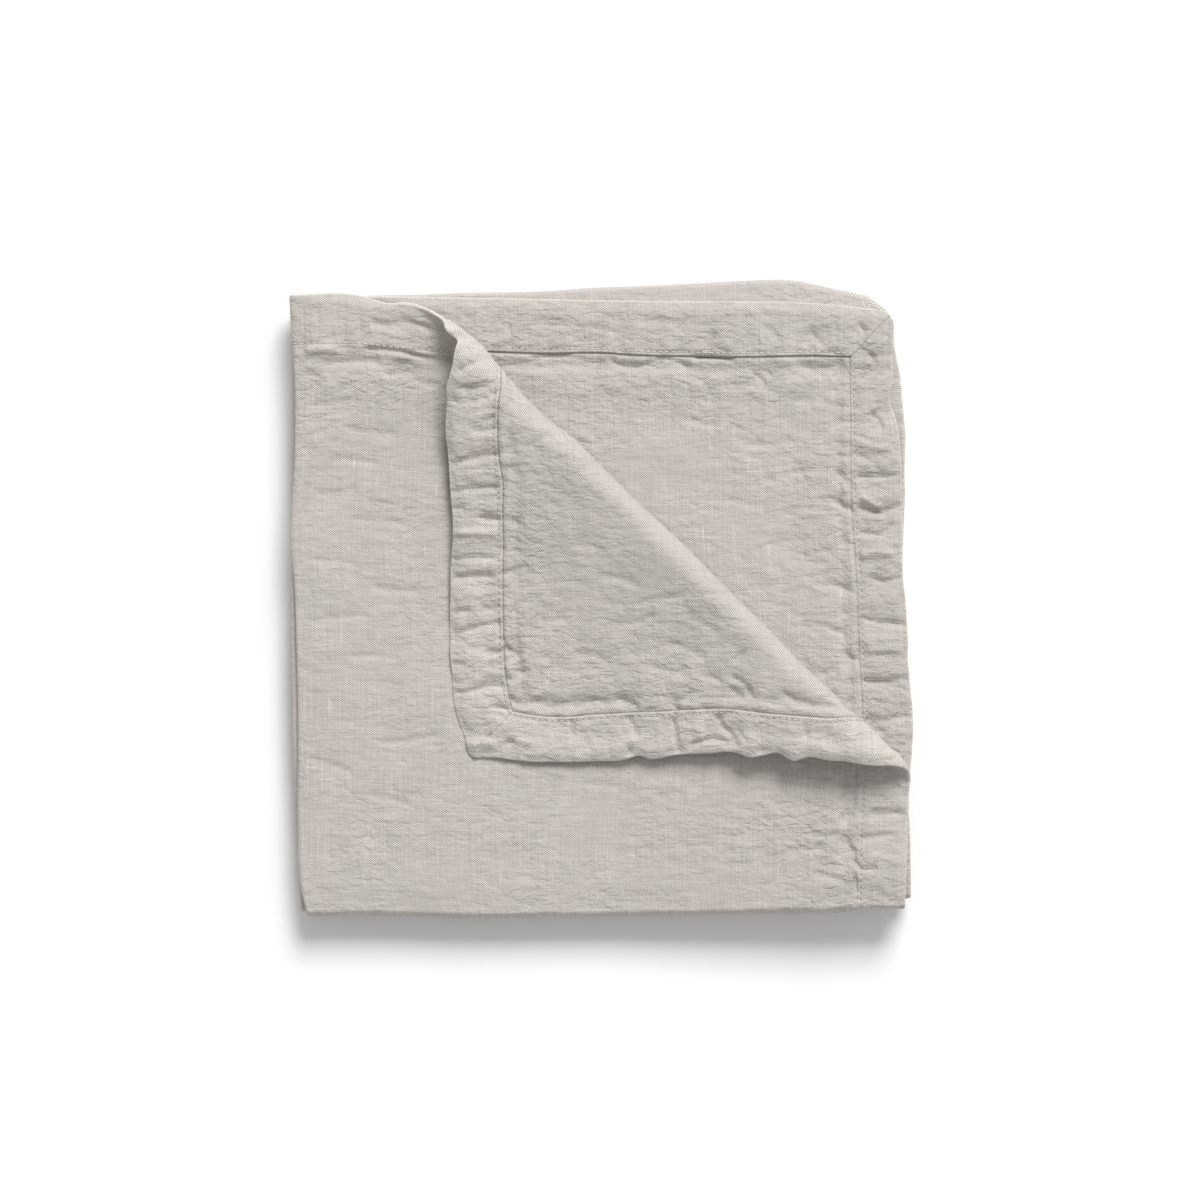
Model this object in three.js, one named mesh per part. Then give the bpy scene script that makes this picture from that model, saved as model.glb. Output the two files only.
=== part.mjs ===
// A linen table runner, folded in half along its length with its wrong sides together,
// then back and forth crosswise, with the top corner of its top layer turned back.
// Millimetres, +Z up. X runs from the lengthwise fold to the long hems,
// Y from the bottom folds to the end hems.
import * as THREE from 'three';

// Sizes of the runner as it was cut and sewn
const runnerWidth = 500;
const runnerLength = 1500;
const clothThickness = 1.0;
const hemWidth = 20;
const hemRise = 0.45;
const hemStep = 0.6;

// How it is folded
const sectionCount = 6;
const layerGap = 0.4;
const halfWidth = runnerWidth / 2;
const plySpacing = (clothThickness + layerGap) / 2;
const bendLength = Math.PI * 2 * plySpacing;
const sectionLength = (runnerLength - (sectionCount - 1) * bendLength) / sectionCount;
const packetDepth = 250;

// Crosswise edges of the packet, from the top hem through the five folds to the last hem:
// how far up each one lies, at six places across
const placesAcross = [0, 50, 125, 185, 225, 250];
const crosswiseEdges = [
  { name: 'top hem', heights: [251.2, 250.5, 249.2, 248.5, 247.2, 242.5] },
  { name: 'first bottom fold', heights: [-1.2, -1.4, -1.2, 0, 1.4, 2.4] },
  { name: 'first top fold', heights: [250, 251.8, 254.9, 257.4, 253.6, 243] },
  { name: 'second bottom fold', heights: [0.5, 1, 1.6, 2.5, 5, 6.2] },
  { name: 'second top fold', heights: [248.5, 250, 251.5, 250, 247, 243.5] },
  { name: 'third bottom fold', heights: [1.5, 0.5, 1.2, 2, 2.6, 4] },
  { name: 'last hem', heights: [247.5, 248.5, 247, 248, 246, 243.5] },
];

// Sides of the packet: how far to the right each section's lengthwise fold and long hem lie,
// at five heights from the bottom to the top
const placesUp = [0, 60, 125, 190, 250];
const sectionSides = [
  { fold: [4.5, 0.8, -0.4, -0.5, -2.6], hem: [247, 249.7, 247.2, 245, 242] },
  { fold: [4.5, -1.2, -2, -1.4, -1.6], hem: [247, 248, 246.2, 247.6, 241] },
  { fold: [1.5, -0.6, -1, -0.4, -1.6], hem: [249.9, 247.6, 246, 247, 241] },
  { fold: [1.5, 0.4, -0.8, 0.6, -0.5], hem: [249.9, 247, 246.4, 245.6, 242] },
  { fold: [2.5, 0, -1.2, -0.4, -0.5], hem: [246.5, 245.6, 246.6, 245, 242] },
  { fold: [2.5, 0.8, -0.2, 0.4, 0.6], hem: [246.5, 247, 246, 246, 243] },
];

// The top layer's own hems, where they would lie if its corner were not turned back
const topLayerEndHem = [
  { across: 0, height: 251.2 },
  { across: 32, height: 251 },
  { across: 42, height: 248.2 },
  { across: 60, height: 247.2 },
  { across: 81, height: 244 },
  { across: 98, height: 249.6 },
  { across: 134, height: 248.8 },
  { across: 170, height: 252.2 },
  { across: 223, height: 254.4 },
  { across: 243, height: 250 },
  { across: 250, height: 247.5 },
];
const topLayerLongHem = [
  { up: 0, across: 247 },
  { up: 45, across: 248.5 },
  { up: 75, across: 250.3 },
  { up: 106, across: 247.5 },
  { up: 137, across: 247 },
  { up: 180, across: 249 },
  { up: 209, across: 250.4 },
  { up: 250, across: 248.5 },
];

// The diagonal fold of the turned corner: where its line starts and ends,
// and along that line how far out its edge bulges and the radius of its roll
const foldStart = new THREE.Vector2(48.6, 250.3);
const foldEnd = new THREE.Vector2(247, 58.7);
const foldShape = [
  { along: -15, bulge: 0.7, radius: 10 },
  { along: 15, bulge: 0.9, radius: 10 },
  { along: 38, bulge: 2.8, radius: 8 },
  { along: 66, bulge: 1.9, radius: 7.5 },
  { along: 92, bulge: 4.2, radius: 7.4 },
  { along: 150, bulge: 4.4, radius: 7.2 },
  { along: 182, bulge: 3.1, radius: 7 },
  { along: 235, bulge: 1.9, radius: 6.5 },
  { along: 262, bulge: 0.9, radius: 6.2 },
  { along: 282, bulge: -1, radius: 6 },
];
const overTurn = THREE.MathUtils.degToRad(22);
const restHeight = clothThickness + layerGap;

// Where the layers above the thick hems rise over them, and how slack each section lies
const longHemRamp = { from: 130, to: 219 };
const endHemRamp = { from: 120, to: 221 };
const sectionSlack = [0.25, 0.35, 0.2, 0.3, 0.2, 0];
const slackWaves = { across: 170, up: 210, turnPerSection: 1.7 };

// The flat sheet's grid of faces: its lines across each half, along each section,
// and beside the turned corner's fold
const topHalfLines = [30, 42, 60, 81, 98, 116, 133, 149, 165, 187, 206, 222];
const lowerHalfLines = [42, 90, 133, 165, 187, 206, 222];
const hemLines = [halfWidth - hemWidth - hemStep, halfWidth - hemWidth, halfWidth];
const sectionHeights = [20, 70, 121, 172, 222];
const topSectionHeights = [20, 45, 58, 70, 82, 95, 108, 121, 134, 147, 160, 172, 184, 196, 209, 222];
const bendSteps = 4;
const foldBendSteps = 3;
const rollLines = [0, 2.6, 5.2, 7.8, 10.4, 13, 15.6, 18.2, 20.8, 23.4, 26, 32, 40, 52, 68, 88, 108];
const lineSnap = 0.9;
const slopeStep = 0.02;

// A smooth curve through rows of a table
function curveThrough(places, values) {
  const curve = new THREE.CubicInterpolant(places, values, 1);
  return (place) => curve.evaluate(place)[0];
}

function curveOfRows(rows, place, value) {
  return curveThrough(rows.map((row) => row[place]), rows.map((row) => row[value]));
}

const edgeHeights = crosswiseEdges.map((edge) => curveThrough(placesAcross, edge.heights));
const foldSides = sectionSides.map((section) => curveThrough(placesUp, section.fold));
const hemSides = sectionSides.map((section) => curveThrough(placesUp, section.hem));
const topEndHem = curveOfRows(topLayerEndHem, 'across', 'height');
const topLongHem = curveOfRows(topLayerLongHem, 'up', 'across');
const foldBulge = curveOfRows(foldShape, 'along', 'bulge');
const foldRadius = curveOfRows(foldShape, 'along', 'radius');
const alongFold = foldEnd.clone().sub(foldStart).normalize();
const outOfFold = new THREE.Vector2(-alongFold.y, alongFold.x);

function ramp(place, { from, to }) {
  return THREE.MathUtils.clamp((place - from) / (to - from), 0, 1);
}

// How far one ply of a section stands off the section's middle, above the hems and slack it covers
function plyOffset(section, x, y) {
  const overLongHem = ramp(x, longHemRamp);
  const hasEndHem = section === 0 || section === sectionCount - 1;
  const overEndHem = hasEndHem ? ramp(y, endHemRamp) : 0;
  const overHems = overLongHem + overEndHem - overLongHem * overEndHem;
  const turn = section * slackWaves.turnPerSection;
  const wave = Math.sin(2 * Math.PI * x / slackWaves.across + turn)
    * Math.sin(2 * Math.PI * y / slackWaves.up - turn);
  const betweenFolds = Math.sin(Math.PI * THREE.MathUtils.clamp(y / packetDepth, 0, 1)) ** 2;
  return plySpacing + hemRise * overHems + sectionSlack[section] * betweenFolds * (1 + wave) / 2;
}

// Height of a section's middle: the layers under it, counted up from the one on the table
function middleHeight(section, x, y) {
  let height = clothThickness / 2 + plyOffset(sectionCount - 1, x, y);
  for (let below = sectionCount - 1; below > section; below -= 1) {
    height += plyOffset(below, x, y) + plyOffset(below - 1, x, y) + clothThickness + layerGap;
  }
  return height;
}

// The height at which an edge lies, seen from above, and the side of each section
function edgeHeight(edge, isTopPly, across) {
  return edge === 0 && isTopPly ? topEndHem(across) : edgeHeights[edge](across);
}

function hemSide(section, isTopPly, up) {
  return section === 0 && isTopPly ? topLongHem(up) : hemSides[section](up);
}

// Where a section's straight run ends: at its hem, or a bend's depth short of its fold
function runEnd(edge, isTopPly, across, x) {
  const height = edgeHeight(edge, isTopPly, across);
  if (edge === 0 || edge === sectionCount) {
    return height;
  }
  const offset = plyOffset(edge - 1, x, height);
  const bendDepth = 2 * offset + plySpacing + clothThickness / 2;
  return edge % 2 === 1 ? height + bendDepth : height - bendDepth;
}

// A point of the cloth's middle surface, from its flat place: across from the lengthwise fold,
// negative on the lower half, and down from the top hem
function packetPoint(flatAcross, flatDown) {
  const side = flatAcross < 0 ? -1 : 1;
  const across = Math.abs(flatAcross);
  const isTopPly = side > 0;
  const stride = sectionLength + bendLength;
  const section = Math.min(Math.max(Math.floor(flatDown / stride), 0), sectionCount - 1);
  const downSection = flatDown - section * stride;
  const run = Math.min(downSection / sectionLength, 1);
  const bendTurn = Math.max(downSection - sectionLength, 0) / bendLength * Math.PI;
  const runsDown = section % 2 === 0;
  const up = packetDepth * (runsDown ? 1 - run : run);

  const start = runEnd(section, isTopPly, across, across);
  const end = runEnd(section + 1, isTopPly, across, across);
  const y = THREE.MathUtils.lerp(start, end, run);
  const offset = plyOffset(section, across, y);
  const foldArc = Math.PI / 2 * offset;
  const left = foldSides[section](up) + clothThickness / 2;
  const right = hemSide(section, isTopPly, up);
  const stretch = (right - left - offset) / (halfWidth - foldArc);
  const foldTurn = Math.min(across / offset, Math.PI / 2);
  const x = left + offset * (1 - Math.cos(foldTurn)) + Math.max(across - foldArc, 0) * stretch;
  const stand = side * plyOffset(section, x, y) * Math.sin(foldTurn);
  const middle = middleHeight(section, x, y);

  if (bendTurn === 0) {
    return new THREE.Vector3(x, y, middle + (runsDown ? stand : -stand));
  }
  const radius = (middle - middleHeight(section + 1, x, y)) / 2;
  const reach = runsDown ? -(radius + stand) : radius - stand;
  const lift = runsDown ? radius + stand : radius - stand;
  return new THREE.Vector3(
    x,
    y + reach * Math.sin(bendTurn),
    middle - radius + lift * Math.cos(bendTurn),
  );
}

// The turned corner's section: a roll a little past half a turn, then a long reverse bend
// that settles on the layer below. It gives the distance out and the height of a place
// so far along the cloth from the start of the roll.
function rollSection(distance, radius) {
  const rollLength = radius * (Math.PI + overTurn);
  if (distance < rollLength) {
    const turn = distance / radius;
    return { out: radius * Math.sin(turn), height: radius * (1 - Math.cos(turn)) };
  }
  const rollOut = -radius * Math.sin(overTurn);
  const rollHeight = radius * (1 + Math.cos(overTurn));
  const settleRadius = (rollHeight - restHeight) / (1 - Math.cos(overTurn));
  const settleTurn = Math.min((distance - rollLength) / settleRadius, overTurn);
  const flat = distance - rollLength - settleTurn * settleRadius;
  return {
    out: rollOut - settleRadius * (Math.sin(overTurn) - Math.sin(overTurn - settleTurn)) - flat,
    height: rollHeight - settleRadius * (Math.cos(overTurn - settleTurn) - Math.cos(overTurn)),
  };
}

// The same point with the corner of the top layer turned back over the diagonal fold
function foldedPoint(flatAcross, flatDown) {
  const point = packetPoint(flatAcross, flatDown);
  if (flatAcross <= 0 || flatDown > sectionLength) {
    return point;
  }
  const plan = new THREE.Vector2(point.x, point.y).sub(foldStart);
  const along = plan.dot(alongFold);
  const radius = foldRadius(along);
  const rollStart = foldBulge(along) - radius;
  const distance = plan.dot(outOfFold) - rollStart;
  if (distance <= 0) {
    return point;
  }
  const turned = rollSection(distance, radius);
  const place = foldStart.clone()
    .addScaledVector(alongFold, along)
    .addScaledVector(outOfFold, rollStart + turned.out);
  const topHeight = middleHeight(0, place.x, place.y) + plyOffset(0, place.x, place.y);
  return new THREE.Vector3(place.x, place.y, topHeight + turned.height);
}

// The cloth's outward direction on its right side
function frontNormal(flatAcross, flatDown) {
  const alongCloth = foldedPoint(flatAcross, flatDown + slopeStep)
    .sub(foldedPoint(flatAcross, flatDown - slopeStep));
  const acrossCloth = foldedPoint(flatAcross + slopeStep, flatDown)
    .sub(foldedPoint(flatAcross - slopeStep, flatDown));
  return alongCloth.cross(acrossCloth).normalize();
}

// How far the turned hem stands proud of the wrong side
function hemHeight(flatAcross, flatDown) {
  const inHem = hemWidth + hemStep / 2;
  const nearestEdge = Math.min(halfWidth - Math.abs(flatAcross), flatDown, runnerLength - flatDown);
  return nearestEdge < inHem ? hemRise : 0;
}

// Lines of the flat grid across the runner and along it
function gridAcross() {
  const foldArc = Math.PI / 2 * plySpacing;
  const bend = Array.from({ length: foldBendSteps }, (_, step) => foldArc * (step + 1) / foldBendSteps);
  const lower = [...bend, ...lowerHalfLines, ...hemLines].map((line) => -line).reverse();
  return [...lower, 0, ...bend, ...topHalfLines, ...hemLines];
}

function gridAlong() {
  const lines = [0, hemWidth, hemWidth + hemStep];
  for (let section = 0; section < sectionCount; section += 1) {
    const start = section * (sectionLength + bendLength);
    const heights = section === 0 ? topSectionHeights : sectionHeights;
    for (const height of heights) {
      const run = height / packetDepth;
      lines.push(start + sectionLength * (section % 2 === 0 ? 1 - run : run));
    }
    if (section > 0) {
      lines.push(start);
    }
    if (section < sectionCount - 1) {
      for (let step = 0; step < bendSteps; step += 1) {
        lines.push(start + sectionLength + bendLength * step / bendSteps);
      }
    }
  }
  lines.push(runnerLength - hemWidth - hemStep, runnerLength - hemWidth, runnerLength);
  return lines.sort((first, second) => first - second);
}

// Distance of a flat place beyond the start of the roll, before the corner is turned
function distancePastFold([flatAcross, flatDown]) {
  const left = sectionSides[0].fold[placesUp.length - 1];
  const top = crosswiseEdges[0].heights[0];
  const plan = new THREE.Vector2(left + flatAcross, top - flatDown).sub(foldStart);
  const along = plan.dot(alongFold);
  return plan.dot(outOfFold) - foldBulge(along) + foldRadius(along);
}

// Splits a face along one line beside the diagonal fold
function splitFace(face, line) {
  const offsets = face.map((corner) => {
    const offset = distancePastFold(corner) - line;
    return Math.abs(offset) < lineSnap ? 0 : offset;
  });
  if (!offsets.some((offset) => offset > 0) || !offsets.some((offset) => offset < 0)) {
    return [face];
  }
  const nearSide = [];
  const farSide = [];
  face.forEach((corner, index) => {
    const next = (index + 1) % face.length;
    if (offsets[index] <= 0) {
      nearSide.push(corner);
    }
    if (offsets[index] >= 0) {
      farSide.push(corner);
    }
    if (offsets[index] * offsets[next] < 0) {
      const part = offsets[index] / (offsets[index] - offsets[next]);
      const cut = [0, 1].map((axis) => THREE.MathUtils.lerp(corner[axis], face[next][axis], part));
      nearSide.push(cut);
      farSide.push(cut);
    }
  });
  return [nearSide, farSide];
}

function flatFaces() {
  const across = gridAcross();
  const along = gridAlong();
  const faces = [];
  for (let column = 0; column < across.length - 1; column += 1) {
    for (let row = 0; row < along.length - 1; row += 1) {
      const [left, right] = [across[column], across[column + 1]];
      const [top, bottom] = [along[row], along[row + 1]];
      let pieces = [[[left, top], [right, top], [right, bottom], [left, bottom]]];
      if (left >= 0 && bottom <= sectionLength + slopeStep) {
        for (const line of rollLines) {
          pieces = pieces.flatMap((piece) => splitFace(piece, line));
        }
      }
      faces.push(...pieces);
    }
  }
  return faces;
}

// The closed solid: a right side, a wrong side with its raised hems, and the rim that joins them
function clothGeometry(faces) {
  const positions = [];
  const numbers = new Map();
  function vertexNumber([flatAcross, flatDown]) {
    const key = `${flatAcross.toFixed(3)} ${flatDown.toFixed(3)}`;
    if (!numbers.has(key)) {
      numbers.set(key, numbers.size);
      const middle = foldedPoint(flatAcross, flatDown);
      const normal = frontNormal(flatAcross, flatDown);
      const toBack = clothThickness / 2 + hemHeight(flatAcross, flatDown);
      positions.push(
        middle.clone().addScaledVector(normal, clothThickness / 2),
        middle.clone().addScaledVector(normal, -toBack),
      );
    }
    return numbers.get(key);
  }

  const triangles = [];
  const openEdges = new Map();
  for (const face of faces) {
    const corners = face.map(vertexNumber);
    corners.forEach((corner, index) => {
      const next = corners[(index + 1) % corners.length];
      const opposite = `${next} ${corner}`;
      if (openEdges.has(opposite)) {
        openEdges.delete(opposite);
      } else {
        openEdges.set(`${corner} ${next}`, [corner, next]);
      }
    });
    for (let corner = 1; corner < corners.length - 1; corner += 1) {
      const [first, second, third] = [corners[0], corners[corner], corners[corner + 1]];
      triangles.push([2 * first, 2 * third, 2 * second]);
      triangles.push([2 * first + 1, 2 * second + 1, 2 * third + 1]);
    }
  }
  for (const [corner, next] of openEdges.values()) {
    triangles.push([2 * corner, 2 * next, 2 * next + 1]);
    triangles.push([2 * corner, 2 * next + 1, 2 * corner + 1]);
  }

  const geometry = new THREE.BufferGeometry().setFromPoints(positions);
  geometry.setIndex(triangles.flat());
  geometry.computeVertexNormals();
  return geometry;
}

// The runner, with its origin under the middle of the packet, where it rests
const linen = new THREE.MeshStandardMaterial({ color: 0xc4bdb7, roughness: 0.92, metalness: 0 });
const runner = new THREE.Mesh(clothGeometry(flatFaces()), linen);
runner.name = 'runner';
runner.geometry.computeBoundingBox();
const packetBox = runner.geometry.boundingBox;
const packetMiddle = packetBox.getCenter(new THREE.Vector3());
runner.position.set(-packetMiddle.x, -packetMiddle.y, -packetBox.min.z);

const foldedRunner = new THREE.Group();
foldedRunner.add(runner);

export default foldedRunner;
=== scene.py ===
"""A linen table runner, folded in half along its length and then back and forth crosswise into a
square packet, with the top corner of its top layer turned back over a diagonal roll.

Lengths are millimetres until a mesh is made. A place on the flat cloth is `across` from the
lengthwise fold (negative on the lower half) and `down` from the top hem. A place in the packet is
x to the right of the lengthwise fold and y up from the bottom folds, as seen from above.
"""

import math
from functools import partial

import bpy
import numpy as np
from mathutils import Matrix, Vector


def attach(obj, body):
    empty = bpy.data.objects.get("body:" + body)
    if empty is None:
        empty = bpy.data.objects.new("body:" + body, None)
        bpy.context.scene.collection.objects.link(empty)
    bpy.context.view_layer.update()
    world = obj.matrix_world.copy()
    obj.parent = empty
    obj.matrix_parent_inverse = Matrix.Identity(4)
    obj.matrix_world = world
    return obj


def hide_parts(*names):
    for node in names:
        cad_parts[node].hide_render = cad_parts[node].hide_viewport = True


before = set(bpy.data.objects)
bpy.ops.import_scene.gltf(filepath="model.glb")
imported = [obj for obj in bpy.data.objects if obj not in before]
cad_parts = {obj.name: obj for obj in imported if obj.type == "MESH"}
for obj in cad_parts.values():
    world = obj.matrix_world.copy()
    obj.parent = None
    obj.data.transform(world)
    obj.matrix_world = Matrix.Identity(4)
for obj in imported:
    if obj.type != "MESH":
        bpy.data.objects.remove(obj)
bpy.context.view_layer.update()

# The runner as it was cut and sewn
RUNNER_WIDTH = 500.0
RUNNER_LENGTH = 1500.0
HALF_WIDTH = RUNNER_WIDTH / 2
CLOTH = 0.55
HEM_WIDTH = 20.0
HEM_RISE = 1.0
SEAM_INSET = 18.5
STITCH_PITCH = 2.6
WARP_PITCH = 0.563
WEFT_PITCH = 0.425

# How it is folded: the space that plies and layers take, half the thickness of one as the solid
# has it, and the packet's size
SECTIONS = 6
PLY_SPACING = 0.7
LAYER_SPACING = 1.4
HALF_LAYER = 0.5
HEM_SPREAD = 0.45
BEND_LENGTH = math.pi * 2 * PLY_SPACING
SECTION_LENGTH = (RUNNER_LENGTH - (SECTIONS - 1) * BEND_LENGTH) / SECTIONS
STRIDE = SECTION_LENGTH + BEND_LENGTH
PACKET_DEPTH = 250.0
PACKET_CENTRE = (123.66, 128.0)
BEND_SQUASH = 0.6
MM = 0.001
TINY = 1e-9

# How slack each section lies, and the long waves in its height
SECTION_SLACK = (0.25, 0.35, 0.2, 0.3, 0.2, 0.0)
WAVE_ACROSS = 170.0
WAVE_UP = 210.0
WAVE_TURN = 1.7
LONG_HEM_RAMP = (130.0, 219.0)
END_HEM_RAMP = (120.0, 221.0)

# Crosswise edges of the packet: (across, height) along each, from the top hem to the last hem
TOP_HEM = (
    (0, 251.2), (33, 250.9), (75, 250.3), (132, 249.2), (166, 248.8), (212, 248.1),
    (223, 247.4), (232, 246.3), (240, 245.4), (250, 244.6),
)
FIRST_BOTTOM_FOLD = (
    (0, -1.2), (10, -0.8), (39, -0.8), (68, -1.6), (110, -1.2), (165, -0.4),
    (206, 0.4), (223, 0.8), (231, 2.0), (250, 2.4),
)
FIRST_TOP_FOLD = (
    (0, 250.3), (37, 251.5), (58, 251.9), (70, 252.5), (87, 252.7), (108, 253.3), (129, 254.7),
    (146, 255.2), (171, 256.4), (187, 257.2), (212, 257.2), (221, 255.4), (229, 253.5),
    (237, 252.3), (246, 248.3), (250, 244.2),
)
SECOND_BOTTOM_FOLD = ((0, 0.5), (50, 1), (125, 1.6), (200, 3), (235, 5.6), (250, 6.2))
SECOND_TOP_FOLD = ((0, 248.5), (50, 250), (125, 251.5), (185, 250), (225, 247), (250, 243.5))
THIRD_BOTTOM_FOLD = ((0, 1.5), (50, 0.5), (125, 1.2), (185, 2), (225, 2.6), (250, 4))
LAST_HEM = ((0, 247.5), (50, 248.5), (125, 247), (185, 248), (225, 246), (250, 243.5))

# Sides of the packet: (up, distance to the right) along each section's fold and long hem
FOLD_SIDES = (
    (
        (0, 4.5), (8, 2.4), (18, 1.2), (34, 0.8), (87, 0.8), (103, 0.4), (136, -0.8), (149, -2),
        (166, -1.6), (183, -0.6), (195, -0.4), (216, -0.6), (229, -1.2), (245, -2.4), (250, -2.6),
    ),
    ((0, 4.5), (20, 0.8), (46, -0.4), (87, -1.8), (103, -2), (150, -1.8), (250, -1.6)),
    ((0, 1.5), (60, -0.6), (125, -1), (190, -0.4), (250, -1.6)),
    ((0, 1.5), (60, 0.4), (125, -0.8), (190, 0.6), (250, -0.5)),
    ((0, 2.5), (60, 0), (125, -1.2), (190, -0.4), (250, -0.5)),
    ((0, 2.5), (60, 0.8), (125, -0.2), (190, 0.4), (250, 0.6)),
)
HEM_SIDES = (
    (
        (0, 247), (18, 247.5), (34, 247.9), (45, 248.5), (63, 249.7), (83, 249.9), (95, 248.7),
        (111, 248.1), (128, 247), (149, 245.8), (172, 245.5), (182, 245.4), (194, 245),
        (203, 243.6), (211, 240.9), (218, 241.8), (230, 241.8), (240, 242.4), (250, 243.6),
    ),
    (
        (0, 247), (30, 248), (60, 248), (125, 246), (149, 245.9), (162, 246.2), (172, 246.6),
        (192, 247.5), (209, 246.6), (217, 245.8), (230, 244.6), (239, 243), (250, 240.6),
    ),
    ((0, 249.9), (7, 249.9), (26, 249.5), (60, 247.5), (125, 246), (190, 247), (250, 240.6)),
    ((0, 249.9), (60, 247), (125, 246.4), (190, 245.6), (250, 242)),
    ((0, 246.5), (60, 245.6), (125, 246.6), (190, 245), (250, 242)),
    ((0, 246.5), (60, 247), (125, 246), (190, 246), (250, 243)),
)

# The top layer's own hems, where they would lie if its corner were not turned back
TURNED_TOP_HEM = (
    (0, 251.6), (30, 251.1), (40, 248.2), (49, 248.4), (55, 247.6), (63, 245.8), (71, 246.6),
    (75, 246.4), (79, 242.3), (82, 243.5), (85, 244.5), (89, 245.4), (94, 246.9), (98, 248.2),
    (103, 248.2), (115, 248.7), (123, 247.2), (130, 246.5), (143, 246.5), (161, 248.5),
    (168, 249.9), (199, 251.6), (221, 251.3), (230, 250.4), (240, 247.6), (249, 245.4),
)
TURNED_LONG_HEM = (
    (0, 247), (45, 248.5), (57, 249.7), (70, 249.4), (78, 249), (85, 248.2), (96, 246.9),
    (104, 246), (111.7, 247.5), (117, 245.1), (124, 245.8), (130.2, 246.5), (135, 244.9),
    (148, 245.3), (162, 245.8), (174, 247.3), (179, 246), (183, 247.2), (198, 248.1),
    (210, 248.4), (228, 247.5), (235, 246.7), (246, 245.9), (250, 245.7),
)

# Where each hem's edge would lie if it ran true to its seam, as the edges wander more, between
# which distances in from the edge the one gives way to the other, the edges' small wobble, the
# rounding of the cloth's corners, and how far apart two edges or sections lie in the noise
TOP_HEM_LINE = (
    (0, 250.2), (30, 250.0), (40, 248.8), (55, 247.6), (71, 246.4), (85, 245.6), (99, 245.4),
    (112, 245.5), (125, 246.1), (135, 246.2), (148, 248.1), (164, 248.8), (197, 249.8),
    (215, 249.6), (225, 248.2), (229, 247.2), (250, 243.5),
)
TOP_SIDE_LINE = (
    (0, 247), (45, 248.5), (60, 250), (77, 250.5), (90, 251), (111, 249.8), (121, 249.1),
    (138, 247.5), (148, 247.7), (161, 248.3), (177, 248.9), (194, 249.5), (209, 250.4),
    (222, 249.2), (228, 247.9), (250, 246.5),
)
SECOND_HEM_LINE = (
    (0, 251.2), (75, 248.8), (107, 247.7), (126, 248), (145, 246.8), (163, 246.4), (178, 245.9),
    (200, 246.1), (214, 246.4), (226, 245.9), (250, 244.6),
)
SECOND_SIDE_LINE = (
    (0, 247.2), (60, 249.4), (83, 249.7), (107, 248.2), (127, 247.6), (156, 246), (165, 245.3),
    (196, 244.6), (250, 244.4),
)
TRUE_LINES = (3, 18)
WOBBLE = 0.3
WOBBLE_SIZE = 8
CORNER_ROUND = 3.0
SECOND_CORNER_ROUND = 7.0
NOISE_GAP = 40.0
SECTION_GAP = 90.0

# The diagonal fold: its line, and (along, how far its edge bulges, radius of its roll, how far
# past half a turn it goes, in degrees)
FOLD_START = np.array((48.6, 250.3))
FOLD_END = np.array((247.0, 58.7))
ALONG_FOLD = (FOLD_END - FOLD_START) / np.linalg.norm(FOLD_END - FOLD_START)
OUT_OF_FOLD = np.array((-ALONG_FOLD[1], ALONG_FOLD[0]))
FOLD_SHAPE = (
    (-15, 0.7, 10, 16), (15, 0.9, 10, 16), (30, 1.8, 8.6, 16), (45, 1.5, 7.8, 16),
    (66, 0.6, 7.5, 15), (85, 2.6, 7.4, 14), (110, 2.6, 7.3, 14), (150, 2.5, 7.2, 14),
    (182, 2.2, 7, 14), (208, 1.8, 6.8, 13), (235, 1.0, 6.6, 9), (262, 0, 6.4, 6), (282, -1, 6, 6),
)
REST_HEIGHT = 1.4

# The flat grid: its lines beside a hem by distance from the hem's outer edge, how many steps lie
# between them and beyond them, its blocks, and the lines left in the sections that are covered
EDGE_LINES = (0.0, 0.12, 0.4, 0.8, 1.6)
SEAM_LINES = (17.4, 18.0, 18.5, 19.0, 19.4, 19.7, 19.88, 20.0, 20.12, 20.5, 21.2, 22.2, 23.4, 24.6)
STRIP_STEPS = 13
BODY_COLUMNS = 198
BODY_ROWS = 194
BLOCK = 4
HEM_LINES_KEPT = (0, 2, 4, 10, 17, 24, 26, 30)
BODY_STRIDE = 6
KEPT_BY_FOLD = (4, 2)
FOLD_STEPS = 8
LOWER_FOLD_STEPS = 6
LOWER_STEPS = 10
FIRST_LOWER_LINES = (5.0, 10.0)
LAST_HEM_LINES = (24, 20.5, 19.8, 18.5, 8, 1.6, 0.5, 0)
CLEAR_OF_LAST_HEM = 26

# Where the grid stays fine: beyond these places from the turned corner's edges, from the
# lengthwise fold and from the diagonal fold, and up to this turn of the roll
FINE_BY_FLAP = -10
FINE_BY_SIDE_FOLD = -3
FINE_BY_FOLD = -12
FINE_TURN = 2.4

# The hem's section: its round edge and lip, how much less the second layer's long hem rises, how
# that comes in past the mitre, and the troughs (depth, half width) of its seam and of its mitre
EDGE_ROUND = 0.8
LIP_ROUND = 0.6
LESS_RISE = 0.45
LESS_RISE_FADE = (0, 4)
SEAM_TROUGH = (0.3, 0.55)
RIGHT_SEAM_TROUGH = (0.22, 0.6)
MITRE_TROUGH = (0.3, 0.9)

# The creases: how deep they all are, their least half width, the shallow hollow round each (depth,
# in half widths), how much deeper they are on a hem, and how they come in at either end
CREASE_DEPTH = 1.9
LEAST_HALF_WIDTH = 1.2
HOLLOW = (0.5, 3.4)
HEM_CREASE_GAIN = 0.55
HEM_CREASE_FADE = (26, 32)
CREASE_ENDS = (-1.5, 2.0)

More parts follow.
